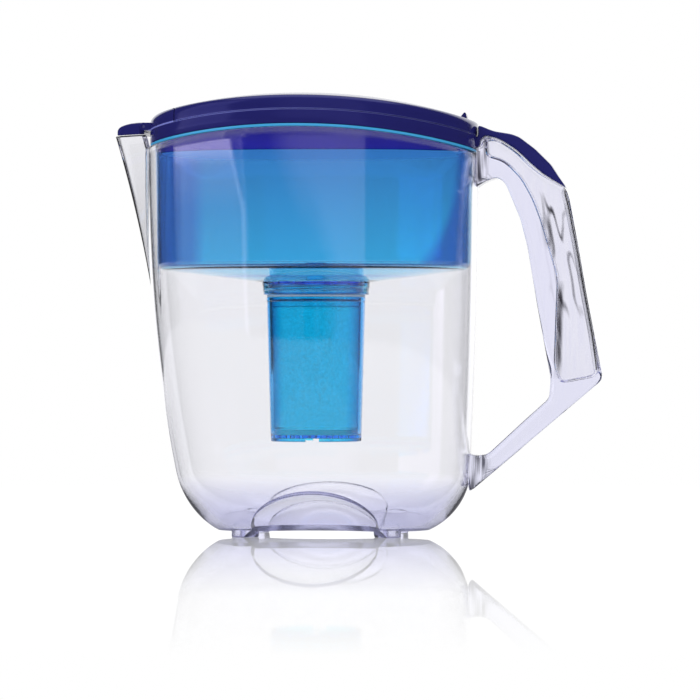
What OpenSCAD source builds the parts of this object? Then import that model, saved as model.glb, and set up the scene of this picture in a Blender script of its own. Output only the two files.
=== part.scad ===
// Water filter pitcher with a flip-up filler lid, in millimetres.
// It stands on four feet at z = 0. The spout points along -X, the handle along +X.
// Outlines in plan are superellipses about the jug's axis, which stands a little
// towards the spout so that the origin lies under the middle of the whole length.

/* [Jug] */
// Distance from the jug's axis to its wall on the spout side, at the rim
jug_left = 101; // [98:1:104]
// Distance from the jug's axis to its wall on the handle side, at the rim
jug_right = 97; // [94:1:100]
// Half of the jug's depth at the rim
jug_depth = 75; // [70:1:80]
// Height of the rim at the top of its arch
rim_height = 240.2; // [230:1:250]
// Radius of the arch that rim, flange and lid follow
arch_r = 420; // [400:10:480]
// Distance of the arch's top from the jug's axis, towards the spout
arch_shift = 8; // [4:1:12]
// Wall thickness of the jug
jug_wall = 2.5; // [2:0.1:3]
// Thickness of the jug's floor
jug_floor = 4; // [3:0.5:5]
// How far the wall leans in at the bottom on the spout side
lean_left = 27; // [22:1:32]
// How far the wall leans in at the bottom on the handle side
lean_right = 7; // [4:1:12]
// How far the wall leans in at the bottom at front and back
lean_depth = 10; // [6:1:14]
// Radius of the bottom edge
base_round = 38; // [30:1:44]
// Height of the feet
foot_h = 3.4; // [2.5:0.1:5]
// Radius of a foot
foot_r = 8; // [6:0.5:10]
// Half of the distance between the feet along the jug
foot_x = 42; // [36:1:46]
// Half of the distance between the feet across the jug
foot_y = 34; // [26:1:36]
// Distance of the base's middle from the jug's axis, towards the handle
base_shift = 3; // [0:1:5]
// Half of the width of the scoop in the front and back of the base
scoop_w = 40; // [34:1:44]
// Height of the scoop's top above the table
scoop_h = 26; // [22:1:30]
// Radius of the ball that cuts the scoop
scoop_r = 60; // [54:2:72]
// Height of the base, up to where the plain wall begins
base_h = 60; // [50:2:80]

/* [Spout] */
// Reach of the spout's tip from the jug's axis
spout_reach = 120.6; // [116:0.2:126]
// Half of the spout's width where it leaves the jug
spout_w = 24; // [20:1:26]
// Radius of the spout's tip in plan
spout_tip_r = 5; // [4:0.5:7]
// Height of the spout's rim above the jug's rim at that end
spout_lift = 8.5; // [6:0.5:10]
// Height of the spout, from its root on the wall to its rim
spout_h = 103; // [90:1:120]

/* [Handle] */
// Reach of the handle's corner from the jug's wall
handle_reach = 74; // [70:1:80]
// Width of the handle
handle_w = 27; // [24:1:32]
// Wall thickness beside the hollow in the handle
handle_wall = 2.6; // [2:0.2:3.4]

/* [Lid] */
// Height of the band around the lid, from the flange to the seam
band_h = 8.2; // [6:0.2:10]
// Height of the upright side of the flip lid
lip_h = 4; // [3:0.5:5]
// Radius of the flip lid's edge
edge_r = 4; // [3:0.5:5]
// Rise of the flip lid's crown
crown_h = 4.5; // [3:0.5:7]
// Wall thickness of the lid mouldings
lid_wall = 2.2; // [1.8:0.1:2.6]
// Distance from the lid's end at the spout to the flip lid's hinge
hinge_setback = 19.6; // [16:0.2:26]
// Half of the length of the flip lid's hinge
hinge_w = 24; // [18:1:30]
// Radius of the knuckles of the flip lid's hinge
knuckle_r = 1.8; // [1.6:0.1:2.2]
// Radius of the hinge pins
pin_r = 1; // [0.8:0.1:1.2]
// Half of the filler opening's length
filler_l = 67; // [60:1:72]
// Half of the filler opening's width
filler_w = 50; // [44:1:56]
// Depth of the skirt inside the funnel, below the top of the rim's arch
skirt_drop = 10.2; // [8:0.2:14]
// Width of the thumb tab
tab_w = 18; // [14:1:24]
// Height of the thumb tab above the flip lid
tab_h = 5; // [4:0.5:7]

/* [Spout flap] */
// Half of the length of the spout flap's hinge knuckle
flap_knuckle_w = 16; // [12:1:17]
// Thickness of a hinge lug on the lid
lug_t = 2.7; // [2:0.1:3.2]
// Radius of the spout flap's knuckle
flap_knuckle_r = 2.4; // [2:0.1:2.6]
// Thickness of the spout flap at its thickest
flap_t = 7.4; // [6:0.2:8]

/* [Funnel] */
// Wall thickness of the funnel
funnel_wall = 2; // [1.6:0.1:2.4]
// Thickness of the flange that lies on the jug's rim
flange_t = 1.5; // [1.2:0.1:2]
// Gap between the funnel and the jug's wall at the top
funnel_gap = 1.2; // [1:0.1:2]
// Depth of the funnel's lower edge below the top of the rim's arch
funnel_depth = 82.4; // [76:1:90]
// Radius of the funnel's lower edge
funnel_round = 5; // [4:0.5:7]
// How far the floor falls from the edge to the collar
floor_fall = 7.3; // [5:0.5:9]
// Height of the collar below the floor's lowest point
collar_h = 7.2; // [6:0.2:9]
// Outer radius of the collar at its lower end
collar_r = 31.2; // [30.6:0.2:33]

/* [Cartridge] */
// Radius of the cartridge at its shoulder
cup_r = 29.6; // [29.4:0.1:30.4]
// Radius of the cartridge at its lower end
cup_low_r = 27; // [25:0.5:28]
// Length of the cartridge from its shoulder to its lower end
cup_length = 86; // [78:1:92]
// Wall thickness of the cartridge
cup_wall = 1.8; // [1.4:0.1:2.2]
// Radius of the threaded neck
neck_r = 28.4; // [27.8:0.1:28.8]
// Thickness of the seal under the collar
seal_t = 1.3; // [1:0.1:1.8]
// Thickness of the cartridge's cap
cap_t = 3; // [2.5:0.5:4]
// Number of inlet slots in the cap
slots = 12; // [8:1:14]
// Length of an inlet slot
slot_l = 10; // [7:0.5:12]
// Width of an inlet slot
slot_w = 1.4; // [1:0.1:2]
// Radius of the knob on the cap, at its foot
knob_r = 7; // [6:0.5:9]
// Height of the knob on the cap
knob_h = 5.8; // [4:0.2:7]
// Depth of the foot ring below the cartridge's floor
foot_ring = 4; // [3:0.5:5]
// Radius of an outlet hole
outlet_r = 1.6; // [1.2:0.1:2]
// Width of a drain notch in the foot ring
drain_w = 8; // [6:0.5:10]
// Depth of a drain notch in the foot ring
drain_h = 2; // [1.5:0.5:3]
// Thickness of the inlet screen
screen_t = 0.8; // [0.5:0.1:1.2]
// Thickness of the outlet pad
pad_t = 3; // [2:0.5:4]
// Height of the carbon bed
carbon_h = 12; // [8:1:20]

/* [Hidden] */

$fn = 64;
SIDES = 48;          // points around a superellipse
LEVELS = 12;         // rings up the jug's wall
SQUARE = 2.5;        // exponent of the plan outlines
fit = 0.3;           // gap between parts that lift off each other
run = 0.05;          // radial clearance of a turning pin
press = 0.01;        // radial clearance of a pin in its seat

clear_plastic = [0.9, 0.92, 1, 0.35];
navy = [0.13, 0.13, 0.5];
blue = [0.2, 0.55, 0.9, 0.6];
cyan = [0.2, 0.65, 0.92, 0.7];

// The jug's axis: the whole length is centred on the origin
axis_x = (spout_reach - jug_right - handle_reach) / 2;
module place() translate([axis_x, 0, 0]) children();

// Fall of the arch at distance x from the jug's axis
function fall(x) = pow(x + arch_shift, 2) / (2 * arch_r);

// One ring: a superellipse with half-lengths l (spout side), r (handle side) and d,
// at height z less the arch's fall where bend is 1
function ring(l, r, d, z, bend = 0, square = SQUARE) = [
    for (i = [0:SIDES - 1])
        let (c = cos(360 * i / SIDES), s = sin(360 * i / SIDES),
             x = (c > 0 ? r : l) * sign(c) * pow(abs(c), 2 / square),
             y = d * sign(s) * pow(abs(s), 2 / square))
        [x, y, z - bend * fall(x)]];

// A closed skin over a list of rings. It runs round to the first ring where loop is true;
// otherwise the first and last rings close on a point in their middle.
module skin(rings, loop = false) {
    m = len(rings);
    n = len(rings[0]);
    low = [0, 0, rings[0][n / 4][2]];
    high = [0, 0, rings[m - 1][n / 4][2]];
    points = [for (one = rings) each one, low, high];
    last = loop ? m - 1 : m - 2;
    sides = [for (k = [0:last], i = [0:n - 1])
        let (a = k * n + i, b = k * n + (i + 1) % n,
             c = (k + 1) % m * n + i, d = (k + 1) % m * n + (i + 1) % n)
        each [[a, c, d], [a, d, b]]];
    ends = [for (i = [0:n - 1])
        each [[m * n, i, (i + 1) % n],
              [m * n + 1, (m - 1) * n + (i + 1) % n, (m - 1) * n + i]]];
    polyhedron(loop ? [for (one = rings) each one] : points, loop ? sides : concat(sides, ends));
}

// ---- Jug ----

// Inset of the wall at height z: a lean that fades upwards and a round bottom edge
function round_in(z) = z < base_round ? base_round * (1 - sqrt(1 - pow(1 - z / base_round, 2))) : 0;
function lean(z, power) = pow(max(0, 1 - z / rim_height), power);
function wall_left(z) = jug_left - lean_left * lean(z, 2.35) - 0.75 * round_in(z);
function wall_right(z) = jug_right - lean_right * lean(z, 2) - round_in(z);
function wall_depth(z) = jug_depth - lean_depth * lean(z, 2) - round_in(z);

// Heights of the rings, close together near the bottom
function level(k, from) = from + (rim_height - from) * pow(k / LEVELS, 2.2);

floor_z = foot_h + jug_floor;
heel = 8;            // how much thicker the wall grows at the inner bottom edge
heel_h = 30;         // height over which it does
function heel_in(z) = heel * pow(max(0, 1 - (z - floor_z) / heel_h), 2);

outer_rings = [for (k = [0:LEVELS - 1])
    let (z = level(k, foot_h)) ring(wall_left(z), wall_right(z), wall_depth(z), z)];
inner_rings = [for (k = [0:LEVELS - 1])
    let (z = level(k, floor_z), in = jug_wall + heel_in(z))
    ring(wall_left(z) - in, wall_right(z) - in, wall_depth(z) - in, z)];
outer_rim = ring(jug_left, jug_right, jug_depth, rim_height, 1);
inner_rim = ring(jug_left - jug_wall, jug_right - jug_wall, jug_depth - jug_wall, rim_height, 1);

module jug_solid() skin([each outer_rings, outer_rim]);

// The spout's section at height z: straight sides from the wall to a round tip, drawn
// in from the outer face, and a straight run of length back into the jug.
// The prow grows out of the wall at spout_root and reaches spout_reach at spout_z.
spout_z = rim_height - fall(-jug_left) + spout_lift;
spout_root = spout_z - spout_h;
function up(z) = (z - spout_root) / spout_h;
function prow(z) = wall_left(spout_root) + (spout_reach - wall_left(spout_root)) * (0.69 * up(z) + 0.31 * pow(up(z), 2));
function prow_w(z) = spout_w * pow(max(0.02, up(z)), 0.6);
function prow_r(z) = min(prow_w(z) * 0.8, spout_tip_r * (0.6 + 0.4 * up(z)));
function wall_x(z, y) = wall_left(z) * pow(1 - pow(y / wall_depth(z), SQUARE), 1 / SQUARE);
function spout_ring(z, in, back) = let (r = max(0.4, prow_r(z) - in), w = max(0.6, prow_w(z) - 1.3 * in),
    tip = prow(z) - in - r, root = wall_x(z, prow_w(z)) - jug_wall / 2) concat(
    [[back - root, w, z], [-root, w, z]],
    [for (i = [0:8]) [-tip - r * sin(10 + i * 20), r * cos(10 + i * 20), z]],
    [[-root, -w, z], [back - root, -w, z]]);
module spout_loft(in, top, back) {
    heights = [for (k = [0:5]) spout_root + (top - spout_root) * k / 5];
    rings = [for (z = heights) spout_ring(min(z, spout_z), in, back)];
    lifted = [for (k = [0:5]) [for (p = rings[k]) [p[0], p[1], heights[k]]]];
    n = len(rings[0]);
    polyhedron([for (one = lifted) each one],
        concat([[for (i = [0:n - 1]) i]], [[for (i = [n - 1:-1:0]) 5 * n + i]],
            [for (k = [0:4], i = [0:n - 1])
                let (a = k * n + i, b = k * n + (i + 1) % n, c = a + n, d = b + n)
                each [[a, c, d], [a, d, b]]]));
}

// The scoop: a ball that meets the wall at scoop_h above the table, and the base's edge
// scoop_w to each side. Its centre lies where two circles about those points cross.
scoop_top = [wall_depth(scoop_h), scoop_h];
scoop_foot = [wall_depth(foot_h), foot_h];
scoop_d = norm(scoop_foot - scoop_top);
scoop_u = (scoop_foot - scoop_top) / scoop_d;
scoop_a = (scoop_w * scoop_w + scoop_d * scoop_d) / (2 * scoop_d);
scoop_b = sqrt(scoop_r * scoop_r - scoop_a * scoop_a);
scoop_c = scoop_top + scoop_a * scoop_u + scoop_b * [-scoop_u[1], scoop_u[0]];
module scoop(side, more) translate([base_shift, side * scoop_c[0], scoop_c[1]]) sphere(scoop_r + more, $fn = 96);

module jug() difference() {
    union() {
        skin([each outer_rings, outer_rim, inner_rim, each [for (k = [LEVELS - 1:-1:0]) inner_rings[k]]]);
        spout_loft(0, spout_z, 0.1);
        for (side = [-1, 1])
            intersection() {
                jug_solid();
                scoop(side, jug_wall);
            }
        for (x = [-foot_x, foot_x], y = [-foot_y, foot_y])
            translate([base_shift + x, y, 0]) cylinder(h = foot_h + jug_floor / 2, r = foot_r);
    }
    spout_loft(jug_wall, spout_z + 1, 3 * jug_wall + heel);
    for (side = [-1, 1]) scoop(side, 0);
}
big = 400;
// The jug is one moulding, given as its base and the wall above it
module jug_body() place() color(clear_plastic) difference() {
    jug();
    translate([-big / 2, -big / 2, base_h - big]) cube(big);
}
module jug_base() place() color(clear_plastic) difference() {
    jug();
    translate([-big / 2, -big / 2, base_h]) cube(big);
}

// ---- Handle ----

// Its outline in side view, as distances from the jug's wall and heights below the rim's top.
// A reach factor ties the outer face to handle_reach.
reach_k = handle_reach / 74;
function at(p) = [jug_right + p[0] * reach_k, rim_height - p[1]];
tail_under = [[1.5, 9.8], [4, 4.2], [12.8, 5.4], [24.8, 11], [36.7, 19.9], [45.7, 28.7], [52.6, 34]];
grip_outer = [[54.6, 40.2], [60, 69.2], [64.8, 97.5], [69, 119.2], [74, 145.4], [73.2, 148], [-5, 214.2]];
grip_inner = [[-8, 190], [-1.5, 192.4], [5.7, 191.8], [14, 184.2], [29.6, 169.8], [42.4, 158.4], [43.3, 146.5],
              [35.5, 104.2], [29.6, 68.9], [25.4, 52.2], [19.4, 37.8], [16.4, 30.7], [11.7, 27.2], [5, 29.5], [-8, 38]];
hollow = [[11, -6], [15.2, 18.2], [24.8, 28.9], [34.3, 45], [40.9, 66.5], [46.9, 86.8], [45, 139], [48.5, 150],
          [69.6, 144.6], [65.6, 119.2], [61.4, 97.5], [56.6, 69.2], [51.4, 41], [49.2, 33.4], [52, -6]];
handle_side = concat([[-8, 9.8 + fit]], [for (p = tail_under) [p[0], p[1] + fit + 0.1]], grip_outer, grip_inner);

module sideways(width) rotate([90, 0, 0]) translate([0, 0, -width / 2]) linear_extrude(width) children();
module handle() place() color(clear_plastic) difference() {
    sideways(handle_w) polygon([for (p = handle_side) at(p)]);
    sideways(handle_w - 2 * handle_wall) polygon([for (p = hollow) at(p)]);
    jug_solid();
    skin([for (z = [0.9, 1.1]) ring(jug_left, jug_right + fit, jug_depth, z * rim_height)]);
}

// ---- Funnel ----

flange_z = rim_height + fit;
funnel_low = rim_height - funnel_depth;
funnel_l = jug_left - jug_wall - 4.5;
funnel_r = jug_right - jug_wall - funnel_gap;
funnel_d = jug_depth - jug_wall - funnel_gap;
funnel_in = 1.2;     // how far the funnel's wall leans in towards its lower edge
collar_z = funnel_low - floor_fall;
collar_low = collar_z - collar_h;
function funnel_ring(in, z, bend = 0) = ring(funnel_l - in, funnel_r - in, funnel_d - in, z, bend);
function floor_ring(r, z) = ring(r, r, r, z, 0, 2);
// The wall, from its lower edge round the corner to the top; in is its distance inside the outer face
function funnel_side(in, top, bend) = concat(
    [for (a = [90, 60, 30, 0])
        funnel_ring(funnel_in + in + (funnel_round - in) * (1 - cos(a)),
                    funnel_low + funnel_round - (funnel_round - in) * sin(a))],
    [funnel_ring(in, top, bend)]);
module funnel_shell() {
    outside = concat([floor_ring(collar_r + 4, collar_z)], funnel_side(0, flange_z, 1));
    inside = concat([floor_ring(collar_r + 4, collar_z + funnel_wall)], funnel_side(funnel_wall, flange_z + flange_t, 1));
    flange = [for (z = [flange_z, flange_z + flange_t]) ring(jug_left - 1.5, jug_right, jug_depth, z, 1)];
    skin([each outside, each flange, each [for (k = [len(inside) - 1:-1:0]) inside[k]]]);
}
module funnel() place() color(blue) difference() {
    union() {
        funnel_shell();
        translate([0, 0, collar_low]) cylinder(h = collar_h + funnel_wall, r1 = collar_r, r2 = collar_r + 1);
    }
    translate([0, 0, collar_low - 1]) cylinder(h = collar_h + floor_fall, r = neck_r + fit);
    // Way for the water from the jug to the spout
    translate([-2 * jug_left, -spout_w - 1, funnel_low])
        cube([2 * jug_left - funnel_l - 1, 2 * spout_w + 2, 2 * funnel_depth]);
}

// ---- Cartridge ----

shoulder_z = collar_low - seal_t;
cup_low = shoulder_z - cup_length;
neck_top = collar_z + funnel_wall - 0.5;
cup_floor = cup_low + foot_ring;
function cup_at(z) = cup_low_r + (cup_r - cup_low_r) * (z - cup_low) / (shoulder_z - cup_low);
cap_z = neck_top - cap_t;
module cartridge_seal() place() color("whitesmoke")
    translate([0, 0, shoulder_z]) difference() {
        cylinder(h = seal_t, r = cup_r - 0.2);
        translate([0, 0, -1]) cylinder(h = seal_t + 2, r = neck_r + run);
    }
module cartridge_housing() place() color(cyan) difference() {
    rotate_extrude() polygon([[0, cup_floor - cup_wall], [cup_low_r - cup_wall, cup_floor - cup_wall],
        [cup_low_r - cup_wall, cup_low], [cup_low_r, cup_low], [cup_r, shoulder_z], [neck_r, shoulder_z],
        [neck_r, neck_top], [neck_r - cup_wall, neck_top], [neck_r - cup_wall, shoulder_z - 1],
        [cup_low_r - cup_wall, cup_floor], [0, cup_floor]]);
    // Outlet holes in the floor and drain notches in the foot
    for (row = [1, 2], i = [0:6 * row - 1])
        rotate(i * 60 / row) translate([row * cup_low_r / 3, 0, cup_floor - cup_wall - 1])
            cylinder(h = cup_wall + 2, r = outlet_r, $fn = 24);
    for (i = [0:3])
        rotate(90 * i) translate([-drain_w / 2, -cup_r - 1, cup_low - 1]) cube([drain_w, 4 * cup_wall + 1, drain_h + 1]);
}
module cartridge_cap() place() color(cyan) difference() {
    union() {
        translate([0, 0, cap_z]) cylinder(h = cap_t, r = neck_r - cup_wall - press);
        translate([0, 0, neck_top - press]) cylinder(h = knob_h + press, r1 = knob_r, r2 = 0.8 * knob_r);
    }
    for (i = [0:slots - 1])
        rotate(i * 360 / slots) translate([knob_r + 4, -slot_w / 2, cap_z - 1]) cube([slot_l, slot_w, cap_t + 2]);
}
module disc(z, h, r) translate([0, 0, z]) cylinder(h = h, r = r);
module inlet_screen() place() color("white") disc(cap_z - screen_t, screen_t, neck_r - cup_wall - 2 * run);
module outlet_pad() place() color("white") disc(cup_floor, pad_t, cup_low_r - cup_wall - 2 * run);
bed_low = cup_floor + pad_t;
bed_top = cap_z - screen_t;
resin_top = bed_top - carbon_h;
function bed_r(z) = min(neck_r, cup_low_r + (neck_r - cup_low_r) * (z - cup_floor) / (shoulder_z - 1 - cup_floor)) - cup_wall - 2 * run;
module bed(z0, z1) rotate_extrude() polygon([[0, z0], [bed_r(z0), z0],
    each (z1 > shoulder_z - 1 && z0 < shoulder_z - 1 ? [[bed_r(shoulder_z - 1), shoulder_z - 1]] : []),
    [bed_r(z1), z1], [0, z1]]);
module resin_bed() place() color("wheat") bed(bed_low, resin_top);
module carbon_bed() place() color([0.2, 0.2, 0.22]) bed(resin_top, bed_top);

// ---- Lid ----

band_z = flange_z + flange_t + fit;
seam_z = band_z + band_h;
lid_l = jug_left - 2.4;
skirt_z = rim_height - skirt_drop;
function lid_ring(in, z, bend = 1) = ring(lid_l - in, jug_right - in, jug_depth - in, z, bend);

// Band, deck with the filler opening, and skirt, as one closed ring of sections
module frame_ring() {
    gap = 0.8;
    skirt = [for (in = [gap, gap + 1.8]) funnel_wall + in];
    skin([lid_ring(0, band_z), lid_ring(0, seam_z),
          ring(filler_l - 5, filler_l + 5, filler_w, seam_z, 1), ring(filler_l - 5, filler_l + 5, filler_w, seam_z - 2, 1),
          ring(funnel_l - skirt[1], funnel_r - skirt[1], funnel_d - skirt[1], seam_z - 2, 1),
          ring(funnel_l - skirt[1], funnel_r - skirt[1], funnel_d - skirt[1], skirt_z),
          ring(funnel_l - skirt[0], funnel_r - skirt[0], funnel_d - skirt[0], skirt_z),
          ring(funnel_l - skirt[0], funnel_r - skirt[0], funnel_d - skirt[0], seam_z - 2, 1),
          ring(lid_l - lid_wall, jug_right - lid_wall, jug_depth - lid_wall, seam_z - 2, 1),
          lid_ring(lid_wall, band_z)], true);
}

// The domed shell, from low above the seam to the crown. A ring at scale s of the outline
// stands crown_h * (1 - s^2.2) above the edge, and the edge itself is a quarter round.
edge_s = 2 * edge_r / (lid_l + jug_depth);
function dome_ring(s, rise, in) = let (
    one = ring((lid_l - in) * s, (jug_right - 0.3 - in) * s, (jug_depth - in) * s, 0))
    [for (p = one) [p[0], p[1], seam_z - fall(p[0]) + rise + crown_h * (1 - pow(s, 2.2))]];
function dome_side(in, low) = concat([dome_ring(1, low, in)],
    [for (a = [0, 30, 60, 90]) dome_ring(1 - edge_s * (1 - cos(a)), lip_h - in + edge_r * sin(a), in)],
    [for (s = [0.85, 0.7, 0.5, 0.3, 0.12]) dome_ring(s, lip_h - in + edge_r, in)]);
module dome(low) {
    outside = dome_side(0, low);
    inside = dome_side(lid_wall, low);
    m = len(outside);
    n = SIDES;
    tops = [for (in = [0, lid_wall]) [0, 0, seam_z - fall(0) + lip_h - in + edge_r + crown_h]];
    rows = concat([for (k = [m - 1:-1:0]) inside[k]], outside);
    sides = [for (k = [0:2 * m - 2], i = [0:n - 1])
        let (a = k * n + i, b = k * n + (i + 1) % n) each [[a, a + n, b + n], [a, b + n, b]]];
    ends = [for (i = [0:n - 1]) each [[2 * m * n + 1, i, (i + 1) % n],
        [2 * m * n, (2 * m - 1) * n + (i + 1) % n, (2 * m - 1) * n + i]]];
    polyhedron([for (one = rows) each one, each tops], concat(sides, ends));
}

// Hinge of the flip lid: its axis lies just under the dome, in a groove across the lid
groove = 1.5;
hinge_x = lid_l - hinge_setback;
hinge_z = seam_z - fall(-hinge_x) + lip_h + edge_r + crown_h * (1 - pow(hinge_x / lid_l, 2.2)) - knuckle_r + 0.6;
knuckle_in = hinge_w / 2;
module across(x, z, from, to, r) translate([x, to, z]) rotate([90, 0, 0]) cylinder(h = to - from, r = r, $fn = 48);
module knuckles(r, more) for (side = [0, 1]) mirror([0, side, 0])
    across(-hinge_x, hinge_z, knuckle_in + 0.2 - more, hinge_w + more, r);
module right_of(x) translate([x, -big / 2, 0]) cube([big, big, big]);
module left_of(x) translate([x - big, -big / 2, 0]) cube([big, big, big]);

// Hinge of the spout flap, at the end of the lid
flap_z = seam_z - fall(-lid_l) + 2.6;
flap_x = lid_l + flap_knuckle_r + 0.4;
tail_w = handle_w - 1;
tail_over = [[52.8, 33.7], [48.7, 27.7], [43.9, 19.9], [34.3, 10.4], [24.8, 3.2], [20, 1.4], [10.5, -0.1], [0.9, -2]];
module lid_frame() place() color(navy) difference() {
    union() {
        frame_ring();
        difference() {
            intersection() {
                dome(-1);
                left_of(-hinge_x - groove + 0.1);
            }
            across(-hinge_x, hinge_z, -knuckle_in - 0.2, knuckle_in + 0.2, knuckle_r + fit);
        }
        knuckles(knuckle_r, 0);
        for (side = [0, 1]) mirror([0, side, 0]) {
            across(-flap_x, flap_z, flap_knuckle_w + fit, flap_knuckle_w + fit + lug_t, flap_knuckle_r);
            translate([-flap_x, flap_knuckle_w + fit, flap_z - flap_knuckle_r])
                cube([flap_x - lid_l + 3.4, lug_t, 2 * flap_knuckle_r]);
        }
        // Tail over the handle, from a root on the band
        sideways(tail_w) polygon([for (p = concat([[-1.3, 9.8], [-1.3, 3.5], [0.9, 3.5]],
            [for (k = [len(tail_over) - 1:-1:0]) tail_over[k]],
            [for (k = [len(tail_under) - 1:-1:0]) tail_under[k]])) at(p)]);
    }
    across(-hinge_x, hinge_z, -big / 8, big / 8, pin_r + press);
    across(-flap_x, flap_z, -big / 8, big / 8, pin_r + press);
}
module flip_lid_pin() place() color("gainsboro") across(-hinge_x, hinge_z, -hinge_w, hinge_w, pin_r);
module spout_flap_pin() place() color("gainsboro")
    across(-flap_x, flap_z, -flap_knuckle_w - lug_t, flap_knuckle_w + lug_t, pin_r);

tab_x = jug_right - 9;
tab_z = seam_z - fall(tab_x) + lip_h + edge_r;
module flip_lid() place() color(navy) difference() {
    union() {
        difference() {
            intersection() {
                dome(fit);
                right_of(-hinge_x + 0.1);
            }
            knuckles(knuckle_r + fit, 0.2);
        }
        across(-hinge_x, hinge_z, -knuckle_in, knuckle_in, knuckle_r);
        sideways(tab_w) translate([tab_x, tab_z]) polygon([[-4, -1], [0.5, tab_h], [1.8, tab_h], [3.5, -1.5]]);
    }
    across(-hinge_x, hinge_z, -big / 8, big / 8, pin_r + run);
}

// The spout flap: the spout's own outline under a lens-shaped side view
flap_low = spout_z + 0.5;
function flap_half(x) = spout_tip_r + (spout_w - spout_tip_r) * (spout_reach - spout_tip_r - x) / (spout_reach - spout_tip_r - jug_left + 2) - 1;
module spout_flap() place() color(navy) difference() {
    union() {
        across(-flap_x, flap_z, -flap_knuckle_w, flap_knuckle_w, flap_knuckle_r);
        intersection() {
            translate([0, 0, flap_low]) linear_extrude(3 * flap_t) {
                tip = spout_reach - spout_tip_r - 0.8;
                body = flap_x + flap_knuckle_r + 0.4;
                translate([-tip, 0]) circle(spout_tip_r);
                polygon([for (side = [1, -1]) each side > 0
                    ? [[-flap_x, flap_knuckle_w], [-body, flap_knuckle_w], [-body, flap_half(body)], [-tip, spout_tip_r - 0.3]]
                    : [[-tip, 0.3 - spout_tip_r], [-body, -flap_half(body)], [-body, -flap_knuckle_w], [-flap_x, -flap_knuckle_w]]]);
            }
            sideways(3 * spout_w) polygon([[-flap_x, flap_z - 1], [-flap_x - 3, flap_low], [-spout_reach, flap_low],
                [-spout_reach, flap_low + 2.5], [2.5 - spout_reach, flap_low + 5.4],
                [-flap_x - 5, flap_low + flap_t], [-flap_x, flap_z + flap_knuckle_r]]);
        }
    }
    across(-flap_x, flap_z, -big / 8, big / 8, pin_r + run);
}

jug_body();
jug_base();
handle();
funnel();
lid_frame();
flip_lid_pin();
spout_flap_pin();
flip_lid();
spout_flap();
cartridge_seal();
cartridge_housing();
cartridge_cap();
inlet_screen();
carbon_bed();
resin_bed();
outlet_pad();
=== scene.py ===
import math

import numpy as np
import bpy
from bpy.props import FloatProperty, FloatVectorProperty, IntProperty, PointerProperty
from mathutils import Matrix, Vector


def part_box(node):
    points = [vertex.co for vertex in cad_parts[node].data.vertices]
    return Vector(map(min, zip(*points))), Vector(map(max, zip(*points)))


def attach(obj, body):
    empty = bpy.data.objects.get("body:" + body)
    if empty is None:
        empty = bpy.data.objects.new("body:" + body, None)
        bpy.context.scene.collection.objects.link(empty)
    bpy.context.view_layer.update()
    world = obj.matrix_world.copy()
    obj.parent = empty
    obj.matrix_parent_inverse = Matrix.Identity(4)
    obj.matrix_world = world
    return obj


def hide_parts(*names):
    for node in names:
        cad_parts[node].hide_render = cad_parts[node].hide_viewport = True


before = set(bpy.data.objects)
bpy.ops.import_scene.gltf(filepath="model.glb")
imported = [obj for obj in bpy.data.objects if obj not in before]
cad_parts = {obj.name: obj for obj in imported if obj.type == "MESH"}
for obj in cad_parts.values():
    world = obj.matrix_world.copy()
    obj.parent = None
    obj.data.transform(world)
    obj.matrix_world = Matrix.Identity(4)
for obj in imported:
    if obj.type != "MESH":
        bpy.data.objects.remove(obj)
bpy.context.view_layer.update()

bl_info = {
    "name": "Water Filter Pitcher",
    "version": (1, 0, 0),
    "blender": (4, 5, 0),
    "location": "3D View > Sidebar > Pitcher",
    "description": "Dresses a clear filter pitcher: jug, handle, funnel, cartridge and flip lid",
    "category": "Add Mesh",
}

# Lengths are in millimetres about the jug's axis until a mesh is filled.
MM = 0.001
SEAL = np.array(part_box("cartridge_seal"))
AXIS_X = float(SEAL[:, 0].mean())
SQUARE = 2.5


# ---------------------------------------------------------------- settings

def millimetres(name, description, default, low, high):
    """A length that a user may change, given in millimetres and kept in metres."""
    return FloatProperty(name=name, description=description, default=default * MM,
                         min=low * MM, max=high * MM, subtype="DISTANCE", unit="LENGTH", precision=4)


def tint(name, description, default):
    """A colour that a user may change."""
    return FloatVectorProperty(name=name, description=description, default=default,
                               size=3, min=0.0, max=1.0, subtype="COLOR")


class PitcherSizes(bpy.types.PropertyGroup):
    """Sizes of the dressed surfaces that don't belong to the frame."""

    columns: IntProperty(name="Columns", description="Points round the jug, the funnel and the lid",
                         default=360, min=96, max=480)
    rim_round: millimetres("Rim Rounding", "Radius of the jug's moulded rim", 0.9, 0.2, 1.2)
    spout_blend: millimetres("Spout Blend", "Width of the fold between spout and wall", 1.2, 0.4, 6.0)
    handle_round: millimetres("Handle Rounding", "Radius of the handle's long edges", 3.2, 0.5, 6.0)
    joint_gap: millimetres("Joint Gap", "Air left between the handle and the jug's wall", 0.15, 0.05, 0.3)
    edge_round: millimetres("Small Edge", "Radius on the small moulded edges", 0.6, 0.1, 1.0)
    thread_turn: FloatProperty(name="Thread Turns", description="Turns of thread round the collar",
                               default=1.4, min=0.5, max=3.0)


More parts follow.
